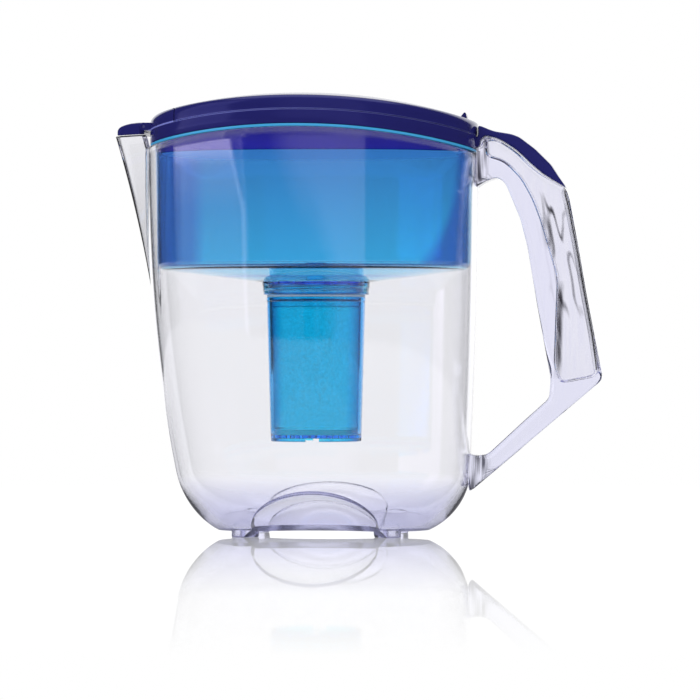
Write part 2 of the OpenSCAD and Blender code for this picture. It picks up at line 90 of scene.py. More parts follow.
class PitcherColours(bpy.types.PropertyGroup):
    """Colours of the mouldings and the filter media."""

    clear: tint("Clear", "Tint of the clear plastic", (0.985, 0.985, 0.995))
    violet: tint("Violet", "Tint of the clear plastic where it's thick", (0.80, 0.80, 0.94))
    # Painted shade: a near-black for the streaks and lines in the clear plastic that stand in for refraction
    # at thick edges, roots and ribs.
    painted_dark: tint("Smoke", "Tint of the streaks in the clear plastic", (0.02, 0.02, 0.03))
    blue: tint("Blue", "Tint of the funnel", (0.245, 0.52, 0.80))
    # Painted shade: band darkens the funnel's blue towards violet where the lid's skirt stands behind it and
    # shades it.
    band: tint("Funnel band", "Tint of the funnel in front of the lid's skirt", (0.95, 0.74, 0.98))
    # Painted shade: ends is the deeper blue at the funnel's two ends, where its wall is seen edge-on.
    ends: tint("Funnel ends", "Tint of the funnel at the two ends of its length", (0.26, 0.40, 0.76))
    # Painted light: flange is a cloudy bright cyan that stands in for the light gathered in the flange.
    flange: tint("Funnel flange", "Colour of the funnel's flange", (0.06, 0.42, 0.80))
    # collar also gives the pale painted highlight lines at the funnel's two ends.
    collar: tint("Funnel collar", "Tint of the funnel's collar", (0.55, 0.9, 1.0))
    cyan: tint("Cyan", "Tint of the cartridge", (0.10, 0.83, 1.0))
    # Painted shade: the deeper blue given to the cartridge's two sides, where its round wall turns away.
    cyan_side_shade: tint("Cyan sides", "Tint of the cartridge to its two sides", (0.32, 0.50, 0.92))
    navy: tint("Navy", "Colour of the lid", (0.0165, 0.0165, 0.13))
    # Painted light: the skirt is the lid's own navy moulding, painted a brighter blue for the light that
    # reaches it inside the funnel.
    skirt: tint("Skirt", "Colour of the lid's skirt inside the funnel", (0.06, 0.062, 0.75))
    # Painted light: the skirt's inner face is painted pale, and given a glow, in place of the light held
    # between skirt and funnel.
    skirt_painted_glow: tint("Skirt inside", "Colour of the inner face of the lid's skirt", (0.75, 0.85, 1.0))
    # Painted highlight: seam is a lighter blue line along the lid's seam, in place of the light caught by its
    # rounded edges.
    seam: tint("Lid seam", "Colour of the rounded edges along the lid's seam", (0.20, 0.22, 0.62))
    pin: tint("Pin", "Colour of the hinge pins", (0.05, 0.05, 0.2))
    rubber: tint("Seal", "Colour of the silicone seal", (0.62, 0.72, 0.8))
    felt: tint("Felt", "Colour of the filter felt", (0.78, 0.84, 0.9))
    resin: tint("Resin", "Colour of the resin beads", (0.6, 0.93, 1.0))
    carbon: tint("Carbon", "Colour of the carbon granules", (0.45, 0.78, 0.95))


def sizes():
    return bpy.context.scene.pitcher_sizes


def colours():
    return bpy.context.scene.pitcher_colours


# ---------------------------------------------------------------- meshes

def closed_quads(rows, cols, loop=False):
    """Quads between neighbouring rows whose columns run round; loop joins the last row to the first."""
    row = np.arange(rows if loop else rows - 1)[:, None]
    col = np.arange(cols)[None, :]
    above, beside = (row + 1) % rows, (col + 1) % cols
    corners = row * cols + col, row * cols + beside, above * cols + beside, above * cols + col
    return np.stack(np.broadcast_arrays(*corners), -1).reshape(-1, 4)


def fan(tip, start, cols):
    """Triangles from the point tip to each edge of the row that begins at start."""
    c = np.arange(cols)
    return np.stack([np.full(cols, tip), start + c, start + (c + 1) % cols], -1)


def lathe_rows(rows, loop=False):
    """Points and faces of a closed skin over rows of points: it ends in a fan at each end, or runs round."""
    rows = np.asarray(rows, float)
    m, n = rows.shape[:2]
    points = rows.reshape(-1, 3)
    if loop:
        return points, [closed_quads(m, n, True)]
    ends = np.stack([rows[0].mean(0), rows[-1].mean(0)])
    faces = [closed_quads(m, n), fan(m * n, 0, n)[:, ::-1], fan(m * n + 1, (m - 1) * n, n)]
    return np.concatenate([points, ends]), faces


def outward(points, faces):
    """The faces turned so that the shell's signed volume, a sum of scalar triple products, is positive."""
    volume = 0.0
    for f in faces:
        for k in range(1, f.shape[1] - 1):
            a, b, c = points[f[:, 0]], points[f[:, k]], points[f[:, k + 1]]
            volume += float(np.einsum("ij,ij->i", a, np.cross(b, c)).sum())
    return faces if volume > 0 else [f[:, ::-1] for f in faces]


def fill(name, points, faces, sharp=35.0, turn=True):
    """A new object whose mesh holds the points, moved from the jug's axis to the frame and into metres."""
    mesh = bpy.data.meshes.new(name)
    if turn:
        faces = outward(points, faces)
    place = points * MM + np.array([AXIS_X, 0.0, 0.0])
    corners = np.concatenate([f.ravel() for f in faces]).astype(np.int32)
    counts = np.concatenate([np.full(len(f), f.shape[1]) for f in faces])
    starts = (np.cumsum(counts) - counts).astype(np.int32)
    mesh.vertices.add(len(place))
    mesh.vertices.foreach_set("co", place.astype(np.float32).ravel())
    mesh.loops.add(len(corners))
    mesh.loops.foreach_set("vertex_index", corners)
    mesh.polygons.add(len(starts))
    mesh.polygons.foreach_set("loop_start", starts)
    mesh.update(calc_edges=True)
    mesh.validate()
    smooth(mesh, sharp)
    piece = bpy.data.objects.new(name, mesh)
    bpy.context.scene.collection.objects.link(piece)
    return piece


def smooth(mesh, sharp):
    """Smooth shading with edges above an angle in degrees kept sharp."""
    mesh.polygons.foreach_set("use_smooth", np.ones(len(mesh.polygons), bool))
    mesh.set_sharp_from_angle(angle=math.radians(sharp))


def carve(piece, others, operation, sharp=35.0):
    """The piece after a boolean with each of the others, which are then removed."""
    for other in others:
        step = piece.modifiers.new("Cut", "BOOLEAN")
        step.operation, step.solver, step.object = operation, "MANIFOLD", other
    baked = bpy.data.meshes.new_from_object(piece.evaluated_get(bpy.context.evaluated_depsgraph_get()))
    piece.modifiers.clear()
    old, piece.data = piece.data, baked
    bpy.data.meshes.remove(old)
    for other in others:
        mesh = other.data
        bpy.data.objects.remove(other)
        bpy.data.meshes.remove(mesh)
    if len(piece.data.polygons) == 0:
        raise RuntimeError("nothing was left of " + piece.name)
    smooth(piece.data, sharp)
    return piece


def dress(piece, body, material, slot, *nodes):
    """The piece in its material, riding on a body in the place of the nodes."""
    piece.data.materials.clear()
    piece.data.materials.append(material)
    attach(piece, body)
    if nodes:
        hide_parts(*nodes)
    return piece


# ---------------------------------------------------------------- forms

RIM = 240.2
FOOT, FLOOR = 3.4, 7.4
LEFT, RIGHT, DEPTH = 101.0, 97.0, 75.0
LEAN_LEFT, LEAN_RIGHT, LEAN_DEPTH = 27.0, 7.0, 10.0
WALL = 2.5
ARCH_X, ARCH_RADIUS = -8.0, 420.0
BOTTOM_ROUND, HEEL, HEEL_TOP = 38.0, 4.5, 30.0
SPOUT_TOP, SPOUT_LOW = 238.4, 135.4
SPOUT_ROOT, SPOUT_GROWTH, SPOUT_HALF = 97.15, 23.45, 24.0
SCOOP_X, SCOOP_RADIUS, SCOOP_TOP, SCOOP_HALF = 3.0, 60.0, 26.0, 40.0


def fall(x):
    """Fall of the arch over the jug: the square of the distance from its top over twice its radius."""
    return (x - ARCH_X) ** 2 / (2 * ARCH_RADIUS)


def bearings():
    """Angles round the axis, crowded towards the spout: equal steps of the running sum of a density."""
    t = np.linspace(0, 2 * np.pi, 7201)
    away = np.degrees(np.abs(t - np.pi))
    density = 1 + 5.0 * np.exp(-(away / 4.0) ** 2) + 1.6 * np.exp(-((away - 12.0) / 5.0) ** 2)
    run = np.concatenate([[0], np.cumsum((density[1:] + density[:-1]) / 2)])
    return np.interp(np.linspace(0, run[-1], sizes().columns + 1)[:-1], run, t)


def oval(angle, left, right, depth):
    """Distance to a superellipse: (|cos/a|^n + |sin/d|^n)^(-1/n), with a = left or right of the axis."""
    c, s = np.cos(angle), np.sin(angle)
    along, across = np.abs(c / np.where(c < 0, left, right)), np.abs(s / depth)
    return (along ** SQUARE + across ** SQUARE) ** (-1 / SQUARE)


def on_plan(angle, reach, height):
    """Points at a distance from the axis, an angle round it and a height."""
    angle, reach, height = np.broadcast_arrays(angle, reach, height)
    return np.stack([reach * np.cos(angle), reach * np.sin(angle), height], -1)


def soft_max(a, b, width):
    """The larger of two values, with a parabola of the given width between them."""
    h = np.clip(width - np.abs(a - b), 0, None) / width
    return np.maximum(a, b) + h * h * width / 4


def ease(t):
    """A smooth step: 3 t^2 - 2 t^3 between 0 and 1."""
    t = np.clip(t, 0, 1)
    return t * t * (3 - 2 * t)


def lean(z, power):
    """How far the wall leans in at a height: the share of the rim's height that is left above, to a power."""
    return np.clip(1 - z / RIM, 0, None) ** power


def round_in(z):
    """Inset of the bottom edge: the round of a quarter circle, R (1 - sqrt(1 - (1 - z / R)^2))."""
    low = np.clip(1 - z / BOTTOM_ROUND, 0, None)
    return BOTTOM_ROUND * (1 - np.sqrt(np.clip(1 - low ** 2, 0, None)))


def wall_size(z, inset=0.0):
    """Reach of the wall to the left, right and depth: a lean that fades upwards, less the edge's round."""
    edge = round_in(z)
    return (LEFT - LEAN_LEFT * lean(z, 2.35) - 0.75 * edge - inset,
            RIGHT - LEAN_RIGHT * lean(z, 2) - edge - inset,
            DEPTH - LEAN_DEPTH * lean(z, 2) - edge - inset)


def prow(angle, z, inset):
    """Distance to the spout's outline: two straight sides tangent to a round tip, drawn in by the inset.

    With u the share of the spout's height, its edge stands at the root's distance plus the growth times
    0.69 u + 0.31 u^2 before the axis, and its root is half the spout times u^0.6 wide to each side.
    """
    u = (z - SPOUT_LOW) / (SPOUT_TOP - SPOUT_LOW)
    grown = np.clip(u, 0.02, 1.0)
    reach = SPOUT_ROOT + SPOUT_GROWTH * (0.69 * grown + 0.31 * grown ** 2)
    half = SPOUT_HALF * grown ** 0.6
    tip = np.minimum(half * 0.8, 5 * (0.6 + 0.4 * grown))
    left, _, depth = wall_size(z)
    root = left * np.clip(1 - (half / depth) ** SQUARE, 0, None) ** (1 / SQUARE) - 1.25
    centre = reach - tip
    away = np.abs(np.pi - angle)
    span = np.hypot(root - centre, half)
    lean_out = np.arctan2(half, root - centre) - np.arccos(np.clip(tip / span, -1, 1))
    nx, ny = np.cos(lean_out), np.sin(lean_out)
    side = (nx * root + ny * half - inset) / np.clip(nx * np.cos(away) + ny * np.sin(away), 0.05, None)
    small = np.maximum(tip - inset, 0.4)
    inside = small ** 2 - (centre * np.sin(away)) ** 2
    arc = centre * np.cos(away) + np.sqrt(np.clip(inside, 0, None))
    turn = np.arctan2(small * ny, centre + small * nx)
    out = np.where(away <= turn, arc, side)
    out = out - 4000 * np.clip(away - np.arctan2(half, root), 0, None)
    return np.where(u > 0.02, out, out - 60 * (0.02 - u))


def jug_reach(angle, z, inset):
    """The jug's outline: the oval wall and the spout, folded into each other; the inset follows both."""
    low = np.clip(1 - (z - FLOOR) / HEEL_TOP, 0, None) ** 2
    heel = HEEL * low if inset >= WALL else 0.0
    body = oval(angle, *wall_size(z, inset + heel))
    return soft_max(body, prow(angle, z, inset), sizes().spout_blend / MM)


def rim_height(angle):
    """Height of the rim: the arch, lifted to the spout's level where the spout is clear of the lid's band."""
    level = np.full_like(angle, 236.0)
    reach = jug_reach(angle, level, 0.0)
    arch = RIM - fall(np.maximum(reach * np.cos(angle), -101.0))
    clear = prow(angle, level, WALL) - oval(angle, *(side + 0.3 for side in LID))
    return arch + (SPOUT_TOP - arch) * ease(clear / 1.6)


def ball(name, centre, radius):
    """A sphere about a centre: latitude by longitude."""
    lat = np.linspace(-np.pi / 2, np.pi / 2, 74)[1:-1, None]
    lon = np.linspace(0, 2 * np.pi, 144, endpoint=False)[None, :]
    points = on_plan(lon, radius * np.cos(lat), radius * np.sin(lat))
    return fill(name, *lathe_rows(points + np.asarray(centre, float)))


def turned(profile, columns, centre=(0.0, 0.0), loop=False):
    """A profile of radius and height carried round an upright axis."""
    profile = np.asarray(profile, float)
    angle = np.linspace(0, 2 * np.pi, columns, endpoint=False)
    points = on_plan(angle[None, :], profile[:, :1], profile[:, 1:])
    return lathe_rows(points + np.array([centre[0], centre[1], 0.0]), loop)


def rounded(corners, radius, steps=5):
    """A chain of corners with each inner corner replaced by a quadratic curve of the given reach."""
    corners = np.asarray(corners, float)
    t = np.linspace(0, 1, steps)[:, None]
    out = [corners[:1]]
    for a, b, c in zip(corners[:-2], corners[1:-1], corners[2:]):
        la, lc = np.linalg.norm(a - b), np.linalg.norm(c - b)
        p, q = b + (a - b) * min(radius, la * 0.45) / la, b + (c - b) * min(radius, lc * 0.45) / lc
        out.append((1 - t) ** 2 * p + 2 * t * (1 - t) * b + t ** 2 * q)
    return np.concatenate(out + [corners[-1:]])


def block(name, low, high):
    """A plain cutter with six faces."""
    low, high = np.array(low, float), np.array(high, float)
    pick = np.array([[0, 0, 0], [1, 0, 0], [1, 1, 0], [0, 1, 0], [0, 0, 1], [1, 0, 1], [1, 1, 1], [0, 1, 1]])
    faces = np.array([[0, 3, 2, 1], [4, 5, 6, 7], [0, 1, 5, 4], [1, 2, 6, 5], [2, 3, 7, 6], [3, 0, 4, 7]])
    return fill(name, low + pick * (high - low), [faces])


# ---------------------------------------------------------------- jug

def scoop_centre():
    """Centre of the ball that meets the wall at the scoop's top and the base's edge at its two sides."""
    top = np.array([float(wall_size(SCOOP_TOP)[2]), SCOOP_TOP])
    foot = np.array([float(wall_size(FOOT)[2]), FOOT])
    gap = np.linalg.norm(foot - top)
    down = (foot - top) / gap
    along = (SCOOP_HALF ** 2 + gap ** 2) / (2 * gap)
    aside = math.sqrt(SCOOP_RADIUS ** 2 - along * along)
    return top + along * down + aside * np.array([-down[1], down[0]])


def jug_shell():
    """One closed skin: base, outer wall, rounded rim, inner wall and floor, each row a ring of bearings."""
    angle = bearings()[None, :]
    top = rim_height(angle)
    r = sizes().rim_round / MM
    t = np.linspace(0, 1, 86)[:, None] ** 1.6
    rows = []

    def base(z, inset, order):
        reach = jug_reach(angle, np.full_like(angle, z), inset)
        s = np.array([0.02, 0.15, 0.3, 0.45, 0.6, 0.72, 0.82, 0.9, 0.95, 0.985])[order][:, None]
        return on_plan(angle, s * reach, z + 0.25 * (1 - s ** 6))

    rows.append(base(FOOT, 0.0, slice(None)))
    z = FOOT + (top - r - FOOT) * t
    rows.append(on_plan(angle, jug_reach(angle, z, 0.0), z))
    for a in np.radians([22.5, 45, 67.5, 90]):
        inset = r * (1 - np.cos(a))
        rows.append(on_plan(angle, jug_reach(angle, top, inset), top - r * (1 - np.sin(a))))
    for a in np.radians([90, 67.5, 45, 22.5]):
        inset = WALL - r * (1 - np.cos(a)) - 1e-6
        rows.append(on_plan(angle, jug_reach(angle, top, inset), top - r * (1 - np.sin(a))))
    z = FLOOR + (top - r - FLOOR) * t[::-1]
    rows.append(on_plan(angle, jug_reach(angle, z, WALL), z))
    rows.append(base(FLOOR, WALL, slice(None, None, -1)))
    return lathe_rows(np.concatenate([np.atleast_3d(one).reshape(-1, angle.shape[1], 3) for one in rows]))


def jug_outside(name, inset, high):
    """A closed skin over the outer wall alone, for cutting."""
    angle = np.linspace(0, 2 * np.pi, 240, endpoint=False)[None, :]
    z = FOOT + (high - FOOT) * np.linspace(0, 1, 70)[:, None] ** 1.6
    reach = oval(angle, *wall_size(np.minimum(z, RIM), inset))
    return fill(name, *lathe_rows(on_plan(angle, reach, z)))


def foot_profile():
    """Radius and height round a foot, its corners rounded."""
    return rounded([[0.05, 0.0], [8.0, 0.0], [8.0, 5.6], [0.05, 5.6]], 0.7)


class PITCHER_OT_jug(bpy.types.Operator):
    """Make the clear jug with its spout, rounded rim, finger scoops and feet"""

    bl_idname = "pitcher.jug"
    bl_label = "Jug"

    def execute(self, context):
        jug = fill("jug", *jug_shell(), sharp=30)
        far, low = scoop_centre()
        walls = []
        for side in (-1, 1):
            wall = ball("scoop wall", (SCOOP_X, side * far, low), SCOOP_RADIUS + WALL)
            walls.append(carve(wall, [jug_outside("outside", 0.05, 120.0)], "INTERSECT"))
        carve(jug, walls, "UNION")
        places = [(SCOOP_X + x, y) for x in (-42, 42) for y in (-34, 34)]
        feet = [fill("foot", *turned(foot_profile(), 48, place)) for place in places]
        carve(jug, feet, "UNION")
        scoops = [ball("scoop", (SCOOP_X, side * far, low), SCOOP_RADIUS) for side in (-1, 1)]
        carve(jug, scoops, "DIFFERENCE", 30)
        dress(jug, "jug", clear_plastic(), "clear_plastic", "jug_body", "jug_base")
        return {"FINISHED"}


# ---------------------------------------------------------------- handle

# Outlines in side view, as distances from the jug's wall and depths below the rim.
HANDLE_HALF, HOLLOW_HALF = 13.5, 10.9
TAIL_UNDER = [(1.2, 9.8), (2.2, 4.4), (5, 2.9), (11.7, 4.8), (15.8, 6.9), (22, 10.9), (25.2, 13.6),
              (32, 20.2), (38.9, 26), (45, 29.6), (49.4, 31.9), (52.6, 34)]
GRIP_OUTER = [(54.6, 40.2), (60, 69.2), (64.8, 97.5), (69, 119.2), (74, 145.4), (73.2, 148), (-5, 214.2)]
GRIP_INNER = [(-8, 190), (-1.5, 192.4), (5.7, 191.8), (14, 184.2), (29.6, 169.8), (42.4, 158.4),
              (43.3, 146.5), (35.5, 104.2), (29.6, 68.9), (25.4, 52.2), (19.4, 37.8), (16.4, 30.7),
              (11.7, 27.2), (5, 29.5), (-8, 38)]
HOLLOW = [(4.5, -6), (4.5, 15.7), (10, 16.5), (15.8, 18.6), (25.4, 28.1), (32.2, 40.4), (36.6, 52),
          (40.9, 66.5), (46.9, 86.8), (45, 139), (48.5, 150), (71.3, 145.6), (67.3, 119.2), (63.1, 97.5),
          (58.3, 69.2), (52.8, 41), (50.4, 34), (52, -6)]
TAIL_OVER = [(10.5, -0.1), (20, 1.4), (24.8, 3.2), (34.3, 10.4), (43.9, 19.9), (48.7, 27.7), (52.8, 33.7)]


def side_line(points, spacing, blur):
    """A closed side outline in even steps, rounded by averaging each point with its neighbours."""
    corners = np.array(points, float) * [1, -1] + [RIGHT, RIM]
    corners = np.concatenate([corners, corners[:1]])
    run = np.concatenate([[0], np.cumsum(np.linalg.norm(np.diff(corners, axis=0), axis=1))])
    count = int(run[-1] / spacing)
    at = np.arange(count) * run[-1] / count
    line = np.stack([np.interp(at, run, corners[:, k]) for k in (0, 1)], -1)
    for _ in range(blur):
        line = (np.roll(line, 1, 0) + 2 * line + np.roll(line, -1, 0)) / 4
    return line


def inward(line):
    """Unit normals of a closed outline, turned to its inside."""
    along = np.roll(line, -1, 0) - np.roll(line, 1, 0)
    along /= np.linalg.norm(along, axis=1)[:, None]
    area = np.sum(line[:, 0] * np.roll(line[:, 1], -1) - np.roll(line[:, 0], -1) * line[:, 1])
    return np.stack([-along[:, 1], along[:, 0]], -1) * np.sign(area)


def corner_room(line, radius):
    """Share of a rounding radius that each point of a closed outline can take before the drawn-in line folds.

    A convex corner that turns by t over a step g has the radius g / t, of which seven tenths may be used, and
    where the outline faces itself at a distance d, a third of d. The least value near each point counts, and
    the shares are averaged along the outline.
    """
    normal = inward(line)
    apart = np.linalg.norm(line[:, None] - line[None], axis=2)
    apart = np.where(normal @ normal.T < -0.3, apart, 1e3).min(1)
    ahead, back = np.roll(line, -1, 0) - line, line - np.roll(line, 1, 0)
    turn = np.arctan2(back[:, 0] * ahead[:, 1] - back[:, 1] * ahead[:, 0], (back * ahead).sum(1))
    turn *= np.sign(turn.sum())
    step = (np.linalg.norm(ahead, axis=1) + np.linalg.norm(back, axis=1)) / 2
    room = np.clip(np.minimum(0.7 * step / np.maximum(turn, 1e-6), apart / 3) / radius, 0, 1)
    for _ in range(4):
        room = np.minimum(room, np.minimum(np.roll(room, 1), np.roll(room, -1)))
    for _ in range(6):
        room = (np.roll(room, 1) + 2 * room + np.roll(room, -1)) / 4
    return room


def slab(name, line, half, radius, bulge=0.0):
    """An outline carried across the width, drawn in by a quarter circle at both edges.

    At angle a of the quarter the outline moves in by r (1 - cos a) and stands at half - r (1 - sin a) from
    the middle; a bulge adds a shallow crown to the flank.
    """
    normal = inward(line) * corner_room(line, radius + bulge)[:, None]
    a = np.radians(np.linspace(90, 0, 6))
    corner, lift = radius * (1 - np.cos(a)), radius * (1 - np.sin(a))
    draw = np.concatenate([[radius + 0.1], corner, np.zeros(5), corner[::-1], [radius + 0.1]])
    middle = np.linspace(-half + radius, half - radius, 7)[1:-1]
    side = np.concatenate([[-half], -half + lift, middle, half - lift[::-1], [half]])
    draw = draw + bulge * (side / half) ** 2
    flat = line[None] + normal[None] * draw[:, None, None]
    rows = np.stack([flat[..., 0], np.broadcast_to(side[:, None], flat.shape[:2]), flat[..., 1]], -1)
    cols = len(line)
    ends = [np.arange(cols)[None, ::-1], np.arange(cols)[None] + (len(rows) - 1) * cols]
    return fill(name, rows.reshape(-1, 3), [closed_quads(len(rows), cols)] + ends)


class PITCHER_OT_handle(bpy.types.Operator):
    """Make the clear handle, hollow under the lid's tail and set against the jug's wall"""

    bl_idname = "pitcher.handle"
    bl_label = "Handle"

    def execute(self, context):
        below_tail = [(x, z + 0.4) for x, z in TAIL_UNDER]
        line = side_line([(-8, 10.1)] + below_tail + GRIP_OUTER + GRIP_INNER, 1.3, 3)
        handle = slab("handle", line, HANDLE_HALF, sizes().handle_round / MM)
        hollow = slab("hollow", side_line(HOLLOW, 1.6, 6), HOLLOW_HALF, 2.0)
        carve(handle, [hollow, jug_outside("wall", -sizes().joint_gap / MM, 280.0)], "DIFFERENCE", 28)
        dress(handle, "jug", handle_plastic(), "clear_plastic", "handle")
        return {"FINISHED"}


# ---------------------------------------------------------------- lid

BAND = RIM + 2.1
SEAM = BAND + 8.2
LID = (98.6, 97.0, 75.0)
LID_WALL = 2.2
OPENING = (62.0, 72.0, 50.0)
FUNNEL = (95.6, 94.1, 71.3)
DOME, CROWN, DOME_ROUND, TAIL_ROUND = 8.0, 4.46, 4.0, 1.2
HINGE_X, HINGE_Z = 79.0, 253.035
FLAP_X, FLAP_Z = 101.4, 243.328
KNUCKLE, FLAP_KNUCKLE = 1.8, 2.4
KNUCKLE_END, FLAP_HALF, PIN = 12.2, 16.0, 1.0
TAB_X = 88.0
FAR = 300.0


def ringed(section):
    """Rows round the lid: each entry gives left, right, depth, height and how much of the arch it follows."""
    angle = bearings()[None, :]
    rows = []
    for left, right, depth, z, bend in section:
        reach = oval(angle, left, right, depth)
        rows.append(on_plan(angle, reach, z - bend * fall(reach * np.cos(angle))))
    return np.concatenate(rows)


def barrel(name, x, z, low, high, radius, edge=0.25):
    """A round bar across the jug, with its end edges turned in."""
    profile = rounded([[0.02, low], [radius, low], [radius, high], [0.02, high]], edge, 4)
    angle = np.linspace(0, 2 * np.pi, 40, endpoint=False)[None, :]
    reach, along = profile[:, :1], np.broadcast_to(profile[:, 1:], (len(profile), angle.size))
    points = np.stack([x + reach * np.cos(angle), along, z + reach * np.sin(angle)], -1)
    return fill(name, *lathe_rows(points))


def dome_row(angle, s, rise, inset):
    """The outline at scale s, standing the crown times 1 - s^2.2 above the seam's arch and the given rise."""
    reach = oval(angle, LID[0] - inset, LID[1] - 0.3 - inset, LID[2] - inset) * s
    return on_plan(angle, reach, SEAM - fall(reach * np.cos(angle)) + rise + CROWN * (1 - s ** 2.2))


def dome(name, low):
    """A closed shell: the upright lip, a quarter round and the crown, with an inner face one wall inside.

    The quarter round's radius falls to a smaller one at the tail by a bell curve of the bearing.
    """
    angle = bearings()[None, :]
    away = np.minimum(angle, 2 * np.pi - angle)
    bend = DOME_ROUND - (DOME_ROUND - TAIL_ROUND) * np.exp(-(away / 0.2) ** 2)
    narrow = 2 * bend / (LID[0] + LID[2])
    small = 0.35

    def side(inset):
        top, first = DOME - inset, 1 - narrow
        rows = [dome_row(angle, 1 - narrow * (1 - math.cos(a)), top - bend * (1 - math.sin(a)), inset)
                for a in np.radians(np.linspace(0, 90, 10))]
        return rows + [dome_row(angle, first + (0.03 - first) * t, top, inset)
                       for t in np.linspace(0, 1, 34)[1:]]

    outer, inner = side(0.0), side(LID_WALL)
    lip = [dome_row(angle, 1, low + rise, inset)
           for rise, inset in ((0.0, LID_WALL), (0.0, small + 0.2), (small, 0.0))]
    return fill(name, *lathe_rows(np.concatenate(inner[::-1] + lip + outer)))


def frame_section():
    """Band, deck round the filler opening, and skirt, as one closed chain of rows."""
    l, r, d = LID
    fl, fr, fd = FUNNEL
    c = sizes().edge_round / MM

    def at(inset, z):
        return (l - inset, r - inset, d - inset, z, 1.0)

    def skirt(inset, z, bend=1.0):
        return (fl - inset, fr - inset, fd - inset, z, bend)

    def opening(more, z):
        return (*(side + more for side in OPENING), z, 1.0)

    deck = SEAM - 2
    band = [at(c, BAND), at(0.2 * c, BAND + 0.2 * c), at(0, BAND + c), at(0, SEAM - c),
            at(0.3 * c, SEAM - 0.3 * c), at(c, SEAM), at(8, SEAM)]
    hole = [opening(2.5, SEAM), opening(0.4, SEAM - 0.15), opening(0, SEAM - 0.6), opening(0, SEAM - 1.6),
            opening(0.4, deck)]
    down = [skirt(4.6, deck), skirt(4.6, 228, 0), skirt(4.3, 227.2, 0), skirt(3.8, 227, 0),
            skirt(3.2, 227.2, 0), skirt(2.8, 228, 0), skirt(2.8, deck)]
    return band + hole + down + [at(LID_WALL, deck), at(LID_WALL, BAND + c), at(LID_WALL - 0.2 * c, BAND)]


def knuckle_pair(name, radius, more):
    """The frame's two hinge knuckles, longer at each end by the given length."""
    return [barrel(name, -HINGE_X, HINGE_Z, KNUCKLE_END - more, 24 + more, radius),
            barrel(name, -HINGE_X, HINGE_Z, -24 - more, more - KNUCKLE_END, radius)]


def pin_bore(x, z, radius):
    """A cutter for a hinge bore, right through the piece."""
    return barrel("bore", -x, z, -40, 40, radius)


def tail_piece(name):
    """The tongue of the lid over the handle, its flanks crowned and its edges rounded."""
    root = [(-1.3, 9.8), (-1.3, 3.5), (0.1, 3.5), (0.25, -3.7), (3.2, -2.8), (6.9, -1.3)]
    return slab(name, side_line(root + TAIL_OVER + TAIL_UNDER[::-1], 0.9, 3), 13.0, 1.1, bulge=0.5)


class PITCHER_OT_lid_frame(bpy.types.Operator):
    """Make the navy lid frame: band, deck, skirt, fixed end of the dome, hinge knuckles, lugs and tail"""

    bl_idname = "pitcher.lid_frame"
    bl_label = "Lid Frame"

    def execute(self, context):
        section = frame_section()
        piece = fill("lid_frame", *lathe_rows(ringed(section).reshape(len(section), -1, 3), True))
        end = dome("dome end", -0.8)
        rest = [block("rest", (-HINGE_X - 0.35, -FAR, 0), (FAR, FAR, 400)),
                block("room", (-HINGE_X - 1.4, -FAR, HINGE_Z - 1.0), (FAR, FAR, 400))]
        carve(end, rest, "DIFFERENCE")
        groove = barrel("groove", -HINGE_X, HINGE_Z, -KNUCKLE_END, KNUCKLE_END, KNUCKLE + 0.3)
        carve(end, [groove], "DIFFERENCE")
        lugs = []
        for side in (-1, 1):
            low, high = sorted((side * 16.3, side * 19.0))
            lugs.append(barrel("lug", -FLAP_X, FLAP_Z, low, high, FLAP_KNUCKLE))
            lugs.append(block("lug foot", (-FLAP_X, low, FLAP_Z - 2.3), (-95.2, high, FLAP_Z + 2.3)))
        carve(piece, [end] + knuckle_pair("knuckle", KNUCKLE, 0) + lugs + [tail_piece("tail")], "UNION")
        bores = [pin_bore(HINGE_X, HINGE_Z, PIN + 0.01), pin_bore(FLAP_X, FLAP_Z, PIN + 0.01)]
        carve(piece, bores, "DIFFERENCE")
        dress(piece, "lid", navy_plastic(), "navy_plastic", "lid_frame")
        return {"FINISHED"}


class PITCHER_OT_flip_lid(bpy.types.Operator):
    """Make the domed flip lid with its hinge barrel and thumb tab"""

    bl_idname = "pitcher.flip_lid"
    bl_label = "Flip Lid"

    def execute(self, context):
        piece = dome("flip_lid", 0.15)
        carve(piece, [block("right", (-HINGE_X + 0.1, -FAR, 0), (FAR, FAR, 400))], "INTERSECT")
        carve(piece, knuckle_pair("room", KNUCKLE + 0.3, 0.2), "DIFFERENCE")
        foot = SEAM - fall(TAB_X) + DOME
        tab = [(TAB_X - RIGHT + x, RIM - (foot + z - 1.0))
               for x, z in ((-4, -1.2), (0.4, 4.4), (0.8, 4.9), (1.4, 5.0), (1.9, 4.7), (3.5, -1.8))]
        parts = [barrel("barrel", -HINGE_X, HINGE_Z, 0.2 - KNUCKLE_END, KNUCKLE_END - 0.2, KNUCKLE),
                 slab("tab", side_line(tab, 0.35, 1), 9.0, 0.5)]
        carve(piece, parts, "UNION")
        carve(piece, [pin_bore(HINGE_X, HINGE_Z, PIN + 0.05)], "DIFFERENCE")
        dress(piece, "flip_lid", navy_plastic(), "navy_plastic", "flip_lid")
        return {"FINISHED"}


